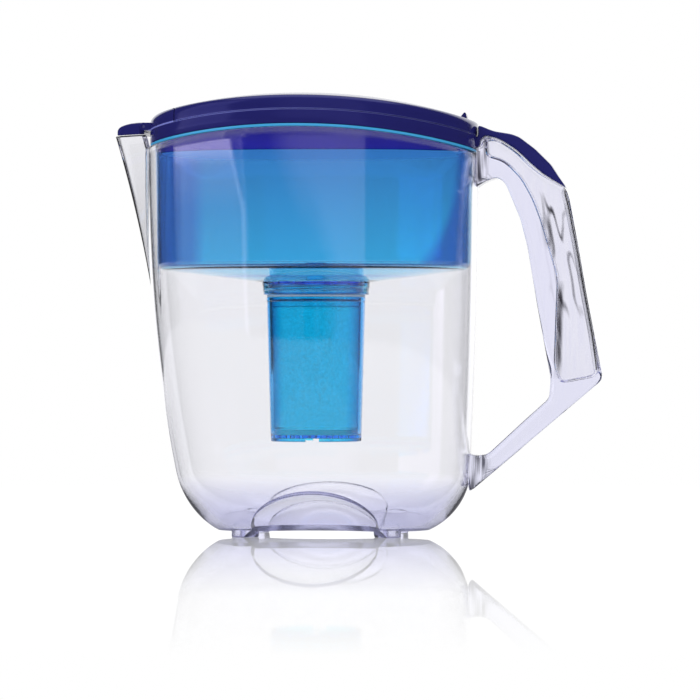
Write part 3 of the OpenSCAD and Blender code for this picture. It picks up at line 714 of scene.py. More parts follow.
def flap_shell():
    """The flap: the spout's outline under a lens that is 1.2 + 6 (1 - t^2.3)^(1/2.3) high towards the tip."""
    low, tip, nose_round, body = 238.9, 114.8, 4.7, 104.2
    a = np.radians(np.linspace(-58, 58, 21))
    nose = np.stack([-tip - nose_round * np.cos(a), -nose_round * np.sin(a)], -1)
    wide = nose_round + (24 - 5) * (115.6 - body) / (115.6 - 99.0) - 1
    root, end = np.array([[-body, -wide]]), np.array([[-FLAP_X, -FLAP_HALF]])
    flank = nose[-1:] + (root - nose[-1:]) * np.linspace(0, 1, 12)[1:, None]
    back = root + (end - root) * np.linspace(0, 1, 5)[1:, None]
    half = np.concatenate([flank, back])
    across = np.stack([np.full(24, -FLAP_X), np.linspace(-FLAP_HALF, FLAP_HALF, 26)[1:-1]], -1)
    plan = np.concatenate([nose, half, across, (half * [1, -1])[::-1]])
    centre = np.array([-107.0, 0.0])

    def height(x):
        t = np.clip((-103.5 - x) / 17.2, 0, 1)
        return 1.2 + 6.0 * (1 - t ** 2.3) ** (1 / 2.3)

    skin = [(0.05, 0, 0), (0.5, 0, 0), (0.97, 0, 0), (1.0, 0, 0.4), (1.0, 0.55, 0), (0.985, 0.78, 0),
            (0.94, 0.92, 0), (0.86, 0.98, 0), (0.7, 1, 0), (0.5, 1, 0), (0.25, 1, 0), (0.05, 1, 0)]
    rows = []
    for s, share, lift in skin:
        at = centre + (plan - centre) * s
        rows.append(np.column_stack([at, low + lift + share * height(at[:, 0])]))
    return lathe_rows(np.stack(rows))


class PITCHER_OT_spout_flap(bpy.types.Operator):
    """Make the flap that closes the spout, with its hinge knuckle"""

    bl_idname = "pitcher.spout_flap"
    bl_label = "Spout Flap"

    def execute(self, context):
        piece = fill("spout_flap", *flap_shell())
        carve(piece, [barrel("knuckle", -FLAP_X, FLAP_Z, -FLAP_HALF, FLAP_HALF, FLAP_KNUCKLE)], "UNION")
        carve(piece, [pin_bore(FLAP_X, FLAP_Z, PIN + 0.05)], "DIFFERENCE")
        dress(piece, "spout_flap", navy_plastic(), "navy_plastic", "spout_flap")
        return {"FINISHED"}


class PITCHER_OT_pins(bpy.types.Operator):
    """Make the two hinge pins"""

    bl_idname = "pitcher.pins"
    bl_label = "Hinge Pins"

    def execute(self, context):
        pins = (("flip_lid_pin", HINGE_X, HINGE_Z, 24.0), ("spout_flap_pin", FLAP_X, FLAP_Z, 18.7))
        for name, x, z, half in pins:
            pin = barrel(name, -x, z, -half, half, PIN - 0.01, 0.3)
            dress(pin, "lid", pin_plastic(), "pin_plastic", name)
        return {"FINISHED"}


# ---------------------------------------------------------------- funnel

COLLAR_LOW, COLLAR_TOP = 143.3, 150.5
COLLAR_FOOT, COLLAR_SIDE = 31.2, 32.25
BORE = 28.7
EDGE_LOW = 157.8
DRAFT, EDGE_OUT, EDGE_IN = 1.2, 5.0, 3.0
FUNNEL_WALL, FLANGE = 2.0, 1.8


def flange_reach(angle):
    """The flange's outline, cut straight where the spout begins."""
    whole = oval(angle, 99.5, RIGHT, DEPTH)
    cut = 95.0 / np.clip(-np.cos(angle), 0.2, None)
    mask = np.where(np.cos(angle) < 0, ease((27.0 - np.abs(np.sin(angle)) * RIGHT) / 4.0), 0.0)
    return whole + (np.minimum(whole, cut) - whole) * mask


def funnel_section(angle):
    """Rows of reach and height: up the collar, along the floor, up the wall, over the flange and back."""
    fl, fr, fd = FUNNEL
    rows = []

    def ring(reach, z):
        rows.append((np.broadcast_to(reach, angle.shape), np.broadcast_to(z, angle.shape)))

    def shell(inset):
        return oval(angle, fl - inset, fr - inset, fd - inset)

    ridge = sizes().thread_turn
    for z in np.linspace(COLLAR_LOW, COLLAR_TOP + 0.4, 30):
        rise = (z - COLLAR_LOW - 1.0) / (COLLAR_TOP - COLLAR_LOW - 2.2) * ridge
        phase = rise - (angle / (2 * np.pi)) % 1.0
        near = np.exp(-((phase - np.round(phase)) / 0.085) ** 2)
        near = near * ease((z - COLLAR_LOW - 0.4) / 0.8) * ease((COLLAR_TOP - 0.6 - z) / 0.6)
        lip = 0.35 * math.exp(-((z - COLLAR_LOW - 0.45) / 0.4) ** 2)
        turn_in = 0.5 * max(0.0, 1 - (z - COLLAR_LOW) / 0.5) ** 2
        ring(COLLAR_FOOT + (z - COLLAR_LOW) / 7.2 + 0.5 * near + lip - turn_in, z)
    for t in np.linspace(0, 1, 7)[1:]:
        ring(COLLAR_SIDE + 2.2 * t, COLLAR_TOP + 0.4 + 0.3 * t * t)
    floor_from, floor_edge = COLLAR_SIDE + 2.2, shell(DRAFT + EDGE_OUT)
    for t in np.linspace(0, 1, 14)[1:-1]:
        ring(floor_from + (floor_edge - floor_from) * t, COLLAR_TOP + 0.7 + (EDGE_LOW - COLLAR_TOP - 0.7) * t)
    wall_low = EDGE_LOW + EDGE_OUT
    for a in np.radians(np.linspace(90, 0, 10)):
        ring(shell(DRAFT + EDGE_OUT * (1 - math.cos(a))), wall_low - EDGE_OUT * math.sin(a))
    outer, inner = shell(0.0), shell(FUNNEL_WALL)
    under = RIM + 0.3 - fall(outer * np.cos(angle))
    for t in np.linspace(0, 1, 16)[1:-1]:
        ring(shell(DRAFT * (1 - t)), wall_low + (under - 0.6 - wall_low) * t)
    ring(outer + 0.02, under - 0.3)
    for share, z in ((0.06, 0.3), (0.5, 0.3), (0.97, 0.3), (1.0, 0.7), (1.0, 1.4), (0.95, FLANGE),
                     (0.5, FLANGE), (0.0, FLANGE)):
        reach = outer + (flange_reach(angle) - outer) * share
        ring(reach, RIM + z - fall(reach * np.cos(angle)))
    bend = RIM - fall(inner * np.cos(angle))
    ring(inner + 0.5, bend + FLANGE)
    ring(inner + 0.05, bend + 1.4)
    top = bend + 0.4
    for t in np.linspace(0, 1, 16):
        ring(shell(FUNNEL_WALL + DRAFT * t), top + (wall_low - top) * t)
    for a in np.radians(np.linspace(10, 90, 9)):
        ring(shell(FUNNEL_WALL + DRAFT + EDGE_IN * (1 - math.cos(a))), wall_low - EDGE_IN * math.sin(a))
    in_edge = shell(FUNNEL_WALL + DRAFT + EDGE_IN)
    for t in np.linspace(0, 1, 14)[1:]:
        ring(in_edge + (33.0 - in_edge) * t, EDGE_LOW + 2 + (COLLAR_TOP - EDGE_LOW) * t)
    for reach, z in ((30.0, COLLAR_TOP + 2.0), (BORE + 0.5, COLLAR_TOP + 2.0), (BORE, COLLAR_TOP + 1.5),
                     (BORE, COLLAR_TOP - 3.0), (BORE, COLLAR_LOW + 0.4), (BORE + 0.4, COLLAR_LOW)):
        ring(reach, z)
    return rows


class PITCHER_OT_funnel(bpy.types.Operator):
    """Make the blue funnel with its flange, sloping floor and threaded collar"""

    bl_idname = "pitcher.funnel"
    bl_label = "Funnel"

    def execute(self, context):
        angle = bearings()
        rows = [on_plan(angle, reach, z) for reach, z in funnel_section(angle)]
        piece = fill("funnel", *lathe_rows(np.stack(rows), True), sharp=40)
        dress(piece, "funnel", blue_plastic(), "blue_plastic", "funnel")
        return {"FINISHED"}


# ---------------------------------------------------------------- cartridge

SHOULDER, CUP_LOW, CUP_FLOOR = 142.0, 56.0, 60.0
CUP_FOOT, NECK, CUP_WALL = 27.0, 28.4, 1.8
CUP_SIDE, CUP_BORE, NECK_BORE = 29.6, 25.2, 26.6
NECK_TURNS, NECK_PITCH, NECK_RIDGE, NECK_START = 1.5, 4.0, 0.55, 144.6
HOLE, HOLE_SPACING = 1.6, 9.0
RESIN_LOW, CARBON_LOW, CARBON_TOP = 63.0, 136.2, 148.2
CAP_LOW, NECK_TOP = 149.0, 152.0


def cup_profile():
    """Radius and height from the floor's middle, under the foot ring, up the outside and down the inside."""
    low = CUP_FOOT - CUP_WALL
    outside = [(0.05, 58.2), (low, 58.2), (low, CUP_LOW), (CUP_FOOT, CUP_LOW), (27.25, 62.0), (28.6, 110.0),
               (29.35, 139.0), (CUP_SIDE, 140.2), (CUP_SIDE, SHOULDER), (NECK, SHOULDER), (NECK, NECK_TOP),
               (NECK_BORE, NECK_TOP), (NECK_BORE, SHOULDER - 1.0), (CUP_BORE, CUP_FLOOR), (0.05, CUP_FLOOR)]
    return rounded(outside, 0.7, 5)


def neck_thread():
    """A thread ridge on the neck, inside the collar's bore: a thin closed tube along one and a half turns."""
    turns = np.linspace(0, NECK_TURNS, 150)[:, None]
    a = np.linspace(0, 2 * np.pi, 10, endpoint=False)[None, :]
    thick = NECK_RIDGE * np.clip(np.minimum(turns, NECK_TURNS - turns) * 12, 0.05, 1)
    reach = NECK - 0.32 + thick * np.cos(a)
    z = NECK_START + NECK_PITCH * turns + thick * np.sin(a)
    around = 2 * np.pi * turns
    return lathe_rows(np.stack(np.broadcast_arrays(reach * np.cos(around), reach * np.sin(around), z), -1))


def upright(name, x, y, low, high, radius):
    """A plain round bar on an upright axis."""
    return fill(name, *turned([[0.02, low], [radius, low], [radius, high], [0.02, high]], 24, (x, y)))


def spun(piece, turn):
    """A piece turned about the jug's axis."""
    co = np.empty(3 * len(piece.data.vertices), np.float32)
    piece.data.vertices.foreach_get("co", co)
    co = co.reshape(-1, 3) - np.array([AXIS_X, 0, 0], np.float32)
    x = co[:, 0] * math.cos(turn) - co[:, 1] * math.sin(turn) + AXIS_X
    y = co[:, 0] * math.sin(turn) + co[:, 1] * math.cos(turn)
    piece.data.vertices.foreach_set("co", np.column_stack([x, y, co[:, 2]]).astype(np.float32).ravel())
    return piece


def plate(radius, low, high, edge):
    """Points and faces of a round disc on the jug's axis, its edges rounded."""
    return turned(rounded([[0.05, low], [radius, low], [radius, high], [0.05, high]], edge, 5), 144)


class PITCHER_OT_cartridge(bpy.types.Operator):
    """Make the cartridge: housing with outlet holes and drain notches, cap with slots and knob"""

    bl_idname = "pitcher.cartridge"
    bl_label = "Cartridge"

    def execute(self, context):
        cup = fill("cartridge_housing", *turned(cup_profile(), 192))
        cuts = [upright("outlet", reach * math.cos(a), reach * math.sin(a), 57.5, 61.0, HOLE)
                for reach, count in ((HOLE_SPACING, 6), (2 * HOLE_SPACING, 12))
                for a in np.arange(count) * 2 * math.pi / count]
        notches = [((-4, -31), (4, -22)), ((-4, 22), (4, 31)), ((-31, -4), (-22, 4)), ((22, -4), (31, 4))]
        cuts += [block("notch", (*low, 55), (*high, 58)) for low, high in notches]
        carve(cup, cuts, "DIFFERENCE")
        carve(cup, [fill("thread", *neck_thread())], "UNION")
        dress(cup, "cartridge", cyan_plastic(), "cyan_plastic", "cartridge_housing")
        top = NECK_TOP - 0.01
        edge = NECK_BORE - 0.02
        knob = [[0.05, CAP_LOW], [edge, CAP_LOW], [edge, NECK_TOP], [8.6, NECK_TOP], [7.0, NECK_TOP + 0.5],
                [6.0, top + 2.4], [5.6, top + 5.8], [0.05, top + 5.8]]
        cap = fill("cartridge_cap", *turned(rounded(knob, 0.9, 6), 160))
        slot = ("slot", (11, -0.7, CAP_LOW - 1), (21, 0.7, NECK_TOP + 1))
        carve(cap, [spun(block(*slot), k * math.pi / 6) for k in range(12)], "DIFFERENCE")
        dress(cap, "cartridge", cyan_plastic(), "cyan_plastic", "cartridge_cap")
        return {"FINISHED"}


class PITCHER_OT_seal(bpy.types.Operator):
    """Make the seal between the collar and the cartridge's shoulder"""

    bl_idname = "pitcher.seal"
    bl_label = "Seal"

    def execute(self, context):
        near, out, low, high = NECK + 0.06, CUP_SIDE - 0.25, SHOULDER + 0.02, COLLAR_LOW - 0.02
        profile = rounded([[near, low], [out, low], [out, high], [near, high], [near, low]], 0.3, 5)[:-1]
        seal = fill("cartridge_seal", *turned(profile, 192, loop=True))
        dress(seal, "seal", seal_rubber(), "seal_rubber", "cartridge_seal")
        return {"FINISHED"}


def bed_radius(z):
    """Inner radius of the cup and neck less 0.1 mm."""
    return min(NECK, CUP_FOOT + 1.4 * (z - CUP_FLOOR) / 81.0) - CUP_WALL - 0.1


def media_bed(low, high):
    """A bed of loose media: a turned solid whose upper face is heaped by sums of sine waves."""
    side = [[bed_radius(z), z] for z in np.linspace(low + 0.3, high - 0.4, 12)]
    up = [[r, high] for r in np.linspace(bed_radius(high) - 0.6, 0.05, 30)]
    down = [[r, low] for r in np.linspace(0.05, bed_radius(low) - 0.4, 10)]
    points, faces = turned(down + side + up, 144)
    top = np.clip((points[:, 2] - high + 0.5) / 0.5, 0, 1)
    x, y = points[:, 0], points[:, 1]
    wave = np.sin(x * 2.9) * np.sin(y * 3.3) + 0.6 * np.sin(x * 5.1 + y * 4.3)
    points[:, 2] -= top * (0.22 + 0.1 * wave)
    return points, faces


class PITCHER_OT_media(bpy.types.Operator):
    """Make what the cartridge holds: inlet screen, carbon, resin and outlet pad"""

    bl_idname = "pitcher.media"
    bl_label = "Filter Media"

    def execute(self, context):
        screen = plate(NECK_BORE - 0.15, CARBON_TOP + 0.05, CAP_LOW - 0.05, 0.25)
        pad = plate(CUP_BORE - 0.15, CUP_FLOOR + 0.02, RESIN_LOW - 0.02, 0.6)
        media = (("inlet_screen", screen, filter_felt(), "filter_felt"),
                 ("outlet_pad", pad, filter_felt(), "filter_felt"),
                 ("resin_bed", media_bed(RESIN_LOW, CARBON_LOW), resin_beads(), "resin_beads"),
                 ("carbon_bed", media_bed(CARBON_LOW, CARBON_TOP), carbon_granules(), "carbon_granules"))
        for name, shell, material, slot in media:
            dress(fill(name, *shell), "cartridge", material, slot, name)
        return {"FINISHED"}


# ---------------------------------------------------------------- materials

class Sock:
    """A node's output whose sums and products add Math nodes."""

    def __init__(self, tree, socket):
        self.tree, self.socket = tree, socket

    def _math(self, operation, a, b=None):
        values = {0: a} if b is None else {0: a, 1: b}
        return self.tree.add("ShaderNodeMath", {"operation": operation}, values)

    def __add__(self, other):
        return self._math("ADD", self, other)

    def __radd__(self, other):
        return self._math("ADD", other, self)

    def __sub__(self, other):
        return self._math("SUBTRACT", self, other)

    def __rsub__(self, other):
        return self._math("SUBTRACT", other, self)

    def __mul__(self, other):
        return self._math("MULTIPLY", self, other)

    def __rmul__(self, other):
        return self._math("MULTIPLY", other, self)

    def __truediv__(self, other):
        return self._math("DIVIDE", self, other)

    def __pow__(self, other):
        return self._math("POWER", self, other)

    def abs(self):
        return self._math("ABSOLUTE", self)

    def clamp(self):
        return self.tree.add("ShaderNodeClamp", {}, {"Value": self})

    def past(self, start, width):
        """A mask: 0 up to the start, rising to 1 over the width."""
        return ((self - start) / width).clamp()

    def until(self, end, width):
        """A mask: 1, falling to 0 over the width before the end."""
        return ((end - self) / width).clamp()

    def around(self, centre, half):
        """A mask: 1 at the centre, falling to 0 at the given distance to each side."""
        return (1.0 - (self - centre).abs() / half).clamp()


class Tree:
    """The nodes of a material or world, each added by its type, its settings and what its inputs hold."""

    def __init__(self, owner):
        self.nodes, self.links = owner.node_tree.nodes, owner.node_tree.links

    def add(self, kind, settings=None, inputs=None, output=0):
        node = self.nodes.new(kind)
        for key, value in (settings or {}).items():
            setattr(node, key, value)
        for key, value in (inputs or {}).items():
            if isinstance(value, Sock):
                self.links.new(value.socket, node.inputs[key])
            else:
                node.inputs[key].default_value = value
        return Sock(self, node.outputs[output]) if node.outputs else None

    def mix(self, factor, a, b):
        return self.add("ShaderNodeMix", {"data_type": "RGBA"}, {0: factor, 6: a, 7: b}, 2)

    def blend(self, share, one, other):
        """A mix of two shaders by the share of the other."""
        return self.add("ShaderNodeMixShader", {}, {0: share, 1: one, 2: other})

    def principled(self, inputs):
        return self.add("ShaderNodeBsdfPrincipled", {}, inputs)

    def rays(self, *names):
        """What a Light Path node says of the ray, by the names of its outputs."""
        return [self.add("ShaderNodeLightPath", output=name) for name in names]

    def place(self):
        """Object coordinates in metres."""
        return self.add("ShaderNodeTexCoord", output=3)

    def split(self, vector):
        return [self.add("ShaderNodeSeparateXYZ", {}, {0: vector}, k) for k in range(3)]

    def noise(self, vector, scale, detail):
        return self.add("ShaderNodeTexNoise", {}, {"Vector": vector, "Scale": scale, "Detail": detail})

    def bump(self, height, strength, distance):
        return self.add("ShaderNodeBump", {}, {"Height": height, "Strength": strength, "Distance": distance})


def finish(name):
    """Turns a function that lays out a material's nodes into one that gives the material, made only once."""
    def wrap(lay_out):
        def made():
            material = bpy.data.materials.get(name)
            if material is None:
                material = bpy.data.materials.new(name)
                material.use_nodes = True
                material.node_tree.nodes.clear()
                lay_out(Tree(material))
            return material
        return made
    return wrap


def four(colour, scale=1.0):
    """A colour times a factor, with full alpha."""
    return (colour[0] * scale, colour[1] * scale, colour[2] * scale, 1.0)


def output(tree, surface, shade=None, depth=None):
    """Ends a material.

    With a shade colour, shadow rays pass as through tinted film, so the light inside stays soft. A depth is
    the colour and density at which the plastic takes up light along its thickness.
    """
    ends = {}
    if depth is not None:
        ends[1] = tree.add("ShaderNodeVolumeAbsorption", {}, {0: four(depth[0]), 1: depth[1]})
    if shade is not None:
        film = tree.add("ShaderNodeBsdfTransparent", {}, {0: shade})
        surface = tree.blend(tree.rays("Is Shadow Ray")[0], surface, film)
    ends[0] = surface
    tree.add("ShaderNodeOutputMaterial", {}, ends)


def moulded(tree, where, strength):
    """Faint orange peel of a polished mould: fine noise on broad flow waves."""
    fine = tree.noise(where, 900.0, 2.0)
    broad = tree.noise(where, 18.0, 1.0)
    return tree.bump(fine * 0.25 + broad, strength, 0.0004)


def clear_body(tree, where, dark, tinge, satin=0.0):
    """Clear plastic, tinted by the given shares towards a near-black painted shade that stands in for
    refraction, and towards violet; satin roughens it.
    """
    rub = tree.noise(where, 35.0, 4.0)
    colour = colours().clear
    tone = tree.mix(tinge, tree.mix(rub * 0.5, four(colour), four(colour, 0.985)), four(colours().violet))
    body = tree.principled({
        "Base Color": tree.mix(dark, tone, four(colours().painted_dark)), "Roughness": rub * 0.008 + 0.22 * satin,
        "IOR": 1.5, "Transmission Weight": 1.0, "Normal": moulded(tree, where, 0.03)})
    output(tree, body, film((0.985, 0.985, 0.995)), ((0.62, 0.62, 0.92), 15.0))


def streaks(tree, x, z, across, along, low, gain):
    """Noise drawn out along the height, cut off below a level."""
    place = tree.add("ShaderNodeCombineXYZ", {}, {0: x * across, 1: z * along})
    return ((tree.noise(place, 1.0, 2.0) - low) * gain).clamp()


@finish("polished_clear")
def clear_plastic(tree):
    """Clear jug, with painted shade along the spout's leading edge in place of the refraction there, and
    satin under its base.

    The edge stands where prow() puts it, with u the share of the spout's height.
    """
    where = tree.place()
    x, y, z = tree.split(where)
    u = z.past(SPOUT_LOW * MM, (SPOUT_TOP - SPOUT_LOW) * MM)
    edge = x - AXIS_X + SPOUT_ROOT * MM + SPOUT_GROWTH * MM * (0.69 * u + 0.31 * u * u)
    # Painted shade: dark streaks in a strip along the spout's leading edge, standing in for the dark
    # refraction of that thick edge.
    near = edge.until(0.0036, 0.0018) * ((u - 0.25) * 3.0).clamp() * y.abs().until(0.0045, 0.002)
    dark = near * (0.5 + streaks(tree, edge, z, 900.0, 30.0, 0.40, 4.0)).clamp()
    clear_body(tree, where, dark, z.until(0.036, 0.03), z.until(0.0085, 0.003))


@finish("polished_handle")
def handle_plastic(tree):
    """Clear handle, with painted shade in place of refraction: dark streaks at its two roots, a line down
    each rib and waves between them.
    """
    where = tree.place()
    x, _, z = tree.split(where)
    out = x - (AXIS_X + RIGHT * MM)
    band = streaks(tree, x, z, 700.0, 45.0, 0.42, 5.0)
    # Painted shade in place of refraction: dark streaks at the top and foot roots, where the handle meets the
    # wall.
    top = out.around(0.0022, 0.0045) * z.past(0.207, 0.006) * 1.6
    foot = (out + 0.001 - (z - 0.025) * 0.12).around(0.0, 0.007) * z.until(0.062, 0.01) * 1.6
    # Painted shade also runs down each rib and in waves between them, in place of the refraction there; grain
    # below only breaks the rib lines into streaks and is not a grain of the plastic.
    # The outer rib stands 54.6 mm from the wall at a height of 200 mm and leans out by 0.184 downwards; the
    # inner one stands 49 mm from it at 150 mm and leans in by 0.03.
    rib = out - (0.0546 + (0.2000 - z) * 0.184)
    outer = rib.around(-0.0014, 0.0014) * 1.4 * z.past(0.096, 0.004) * z.until(0.206, 0.004)
    inner = (out + (0.150 - z) * 0.03).around(0.0490, 0.0022) * 1.3
    inner = inner * z.past(0.093, 0.01) * z.until(0.152, 0.01)
    waves = tree.noise(tree.add("ShaderNodeCombineXYZ", {}, {0: rib * 130.0, 1: z * 22.0}), 1.0, 1.0)
    painted_lines = (1.0 - (waves - 0.5).abs() * 28.0).clamp() * rib.around(-0.012, 0.011)
    painted_lines = painted_lines * z.past(0.128, 0.015) * z.until(0.205, 0.01)
    grain = streaks(tree, rib, z, 800.0, 25.0, 0.30, 3.0)
    dark = (top + foot).clamp() * band + (outer + inner).clamp() * (0.35 + 0.5 * grain) + painted_lines * 0.9
    clear_body(tree, where, dark.clamp(), 0.25 + 0.1 * band)


def arch_fall(along):
    """The arch's fall at a distance along the jug from its axis: fall() in metres."""
    from_top = along - ARCH_X * MM
    return from_top * from_top / (2 * ARCH_RADIUS * MM)


def film(colour):
    """Tint of one face of a wall whose two faces together take the given colour."""
    return (math.sqrt(colour[0]), math.sqrt(colour[1]), math.sqrt(colour[2]), 1.0)


# Heights in metres at which a tone changes; those of flange, skirt and seam are from the arch's top.
FUNNEL_BAND, FUNNEL_CORNER, FUNNEL_FLOOR, FLANGE_LOW = 0.2272, 0.1608, 0.1592, 0.2403
COLLAR_LINES = (0.1438, 0.1503, 0.1538)
SKIRT_TOP, SEAM_LINE = 0.2398, 0.2506
TONE_STEP = 0.0004


@finish("funnel_blue")
def blue_plastic(tree):
    """Clear blue of the funnel.

    Its colour turns paler down the piece and deeper at the two ends of its length, both painted shade:
    deepest under the lid, and where the wall is seen edge-on. A pale line at each end is a painted highlight,
    a deep one at the corner above the floor painted shade, and below come the paler tone of floor and collar
    and three deep lines of painted shade across the collar. Beside the lid's skirt it takes the band's tone,
    painted shade from the lid, and above the rim's arch the flange's cloudy colour, painted light standing in
    for light gathered in the flange.
    """
    c = colours()
    red, green, blue = c.blue
    where = tree.place()
    drift = tree.noise(where, 14.0, 2.0)
    speck = tree.noise(where, 220.0, 2.0)
    x, _, z = tree.split(where)
    along = x - AXIS_X
    # Painted shade: the blue deepens up the piece towards the lid that shades it.
    rise = ((z - 0.155) / 0.08 + drift * 0.15).clamp()
    pale = (red * 1.1, min(green * 1.44, 1.0), min(blue * 1.2, 1.0))
    body = tree.mix(rise, four(pale), four(c.blue))
    # Painted shade: deeper blue at the two ends, where the wall is seen edge-on.
    drop = z.until(0.222, 0.06)
    ends = along.until(-0.0735, 0.008) + (along + drop * drop * 0.020).past(0.084, 0.005) * 0.8
    body = tree.mix(ends, body, four(c.ends))
    # Painted highlight: a pale line right at each end.
    painted_lines = along.until(-0.0935, 0.0008) + along.past(0.0915, 0.0008)
    body = tree.mix(painted_lines, body, four(c.collar))
    # Painted shade beside the lid's skirt, then a deep line of painted shade at the corner above the floor,
    # then the paler floor and collar.
    tone = tree.mix(z.past(FUNNEL_BAND, TONE_STEP), body, four(c.band))
    tone = tree.mix(z.until(FUNNEL_CORNER, TONE_STEP), tone, four(c.ends, 0.6))
    tone = tree.mix(z.until(FUNNEL_FLOOR, TONE_STEP), tone, four(c.collar))
    # Painted shade: three deep lines across the collar, at its edges.
    for level in COLLAR_LINES:
        tone = tree.mix(z.around(level, 0.0007), tone, (0.34, 0.36, 0.85, 1.0))
    clear = tree.principled({
        "Base Color": tone, "Roughness": 0.01 + speck * 0.02, "IOR": 1.42,
        "Transmission Weight": 1.0, "Normal": moulded(tree, where, 0.04)})
    # Painted light: above the rim's arch the flange turns cloudy and bright, standing in for light gathered
    # in the flange.
    cloudy = tree.principled({
        "Base Color": four(c.flange), "Roughness": 0.15 + speck * 0.05, "IOR": 1.42,
        "Transmission Weight": 0.2, "Normal": moulded(tree, where, 0.04)})
    rim = (z + arch_fall(along)).past(FLANGE_LOW, 0.0002)
    wall = tree.blend(rim, clear, cloudy)
    output(tree, wall, film((0.30, 0.76, 0.97)), ((0.14, 0.80, 0.98), 80.0))


@finish("cartridge_cyan")
def cyan_plastic(tree):
    """Clear cyan of the cartridge, paler in its neck and bluer to its two sides, a painted shade where its
    round wall turns away.
    """
    where = tree.place()
    speck = tree.noise(where, 220.0, 2.0)
    drift = tree.noise(where, 30.0, 2.0)
    x, _, z = tree.split(where)
    c = colours().cyan
    cup = tree.mix(drift, four(c), four(c, 0.97))
    tone = tree.mix(z.past(0.1425, 0.001), cup, (0.75, 0.93, 1.0, 1.0))
    # Painted shade: the housing turns bluer towards its two sides, where its round wall turns away.
    sides = ((x - AXIS_X).abs() - (z - CUP_LOW * MM) * 0.02).past(0.0185, 0.0065) * 0.85
    tone = tree.mix(sides, tone, four(colours().cyan_side_shade))
    body = tree.principled({
        "Base Color": tone, "Roughness": 0.03 + speck * 0.03, "IOR": 1.33,
        "Transmission Weight": 1.0, "Normal": moulded(tree, where, 0.04)})
    output(tree, body, film((0.15, 0.88, 0.99)), ((0.05, 0.86, 1.0), 150.0))


@finish("lid_navy")
def navy_plastic(tree):
    """Navy of the lid, with painted light on the skirt inside the funnel and a painted highlight along the
    seam.

    The skirt is painted bluer, and its inner face pale with a glow, in place of the light there.
    """
    where = tree.place()
    drift = tree.noise(where, 22.0, 3.0)
    fine = tree.noise(where, 700.0, 2.0)
    colour, skirt = colours().navy, colours().skirt
    x, y, z = tree.split(where)
    along = x - AXIS_X
    level = z + arch_fall(along)
    # Painted light on the skirt inside the funnel: its outer face bluer, its inner face, the hollow, pale.
    inner = level.until(SKIRT_TOP, TONE_STEP) * along.until(0.0935, TONE_STEP)
    length, depth = 0.09115 ** SQUARE, 0.0676 ** SQUARE
    out = (along + 0.0007).abs() ** SQUARE / length + y.abs() ** SQUARE / depth
    hollow = ((1.0 - out) * 400.0).clamp()
    tone = tree.mix(inner, four(colour), tree.mix(hollow, four(skirt), four(colours().skirt_painted_glow)))
    # Painted highlight along the seam, strongest at the spout's end and fading towards the handle's.
    seam = (level.around(SEAM_LINE, 0.0006) * 2.0).clamp() * along.until(0.0968, 0.0002)
    seam = seam * along.past(-0.0990, 0.0002) * (1.0 - along.past(-0.05, 0.1) * 0.6)
    tone = tree.mix(seam, tone, four(colours().seam))
    body = tree.principled({
        "Base Color": tree.mix(drift * 0.16, tone, (0.0, 0.0, 0.0, 1.0)),
        "Roughness": 0.12 + 0.05 * fine, "IOR": 1.45, "Specular Tint": (0.38, 0.42, 1.0, 1.0),
        # Painted glow: the skirt's inner face gives off light of its own, standing in for the light there.
        "Emission Color": tree.mix(hollow * inner, (0.0, 0.0, 0.0, 1.0), (0.12, 0.28, 0.5, 1.0)),
        "Emission Strength": 1.0, "Normal": moulded(tree, where, 0.05)})
    output(tree, body)


@finish("pin_satin")
def pin_plastic(tree):
    """Satin plastic of the hinge pins, its roughness and tone varied by fine noise."""
    where = tree.place()
    wear = tree.noise(where, 400.0, 3.0)
    colour = colours().pin
    body = tree.principled({
        "Base Color": tree.mix(wear, four(colour, 0.8), four(colour, 1.2)),
        "Roughness": 0.38 + 0.12 * wear, "IOR": 1.5, "Normal": tree.bump(wear, 0.1, 0.0002)})
    output(tree, body)


@finish("seal_silicone")
def seal_rubber(tree):
    """Silicone of the seal, faintly mottled."""
    where = tree.place()
    grain = tree.noise(where, 500.0, 3.0)
    colour = colours().rubber
    body = tree.principled({
        "Base Color": tree.mix(grain, four(colour, 0.94), four(colour)),
        "Roughness": 0.5 + 0.1 * grain, "IOR": 1.41, "Normal": tree.bump(grain, 0.15, 0.0002)})
    output(tree, body)


@finish("pressed_felt")
def filter_felt(tree):
    """Felt: noise drawn out along two directions, as crossed fibres."""
    where = tree.place()
    def strands(scale, stretch, turn):
        inputs = {"Vector": where, "Scale": stretch, "Rotation": (0, 0, turn)}
        return tree.noise(tree.add("ShaderNodeMapping", {}, inputs), scale, 4.0) * 0.5

    fibres = strands(900.0, (1.0, 4.0, 1.0), 0.6) + strands(1100.0, (4.0, 1.0, 1.0), -0.4)
    colour = colours().felt
    body = tree.principled({
        "Base Color": tree.mix(fibres, four(colour, 0.8), four(colour, 1.08)),
        "Roughness": 0.85 + 0.1 * fibres, "Sheen Weight": 0.3, "Normal": tree.bump(fibres, 0.5, 0.0004)})
    output(tree, body)


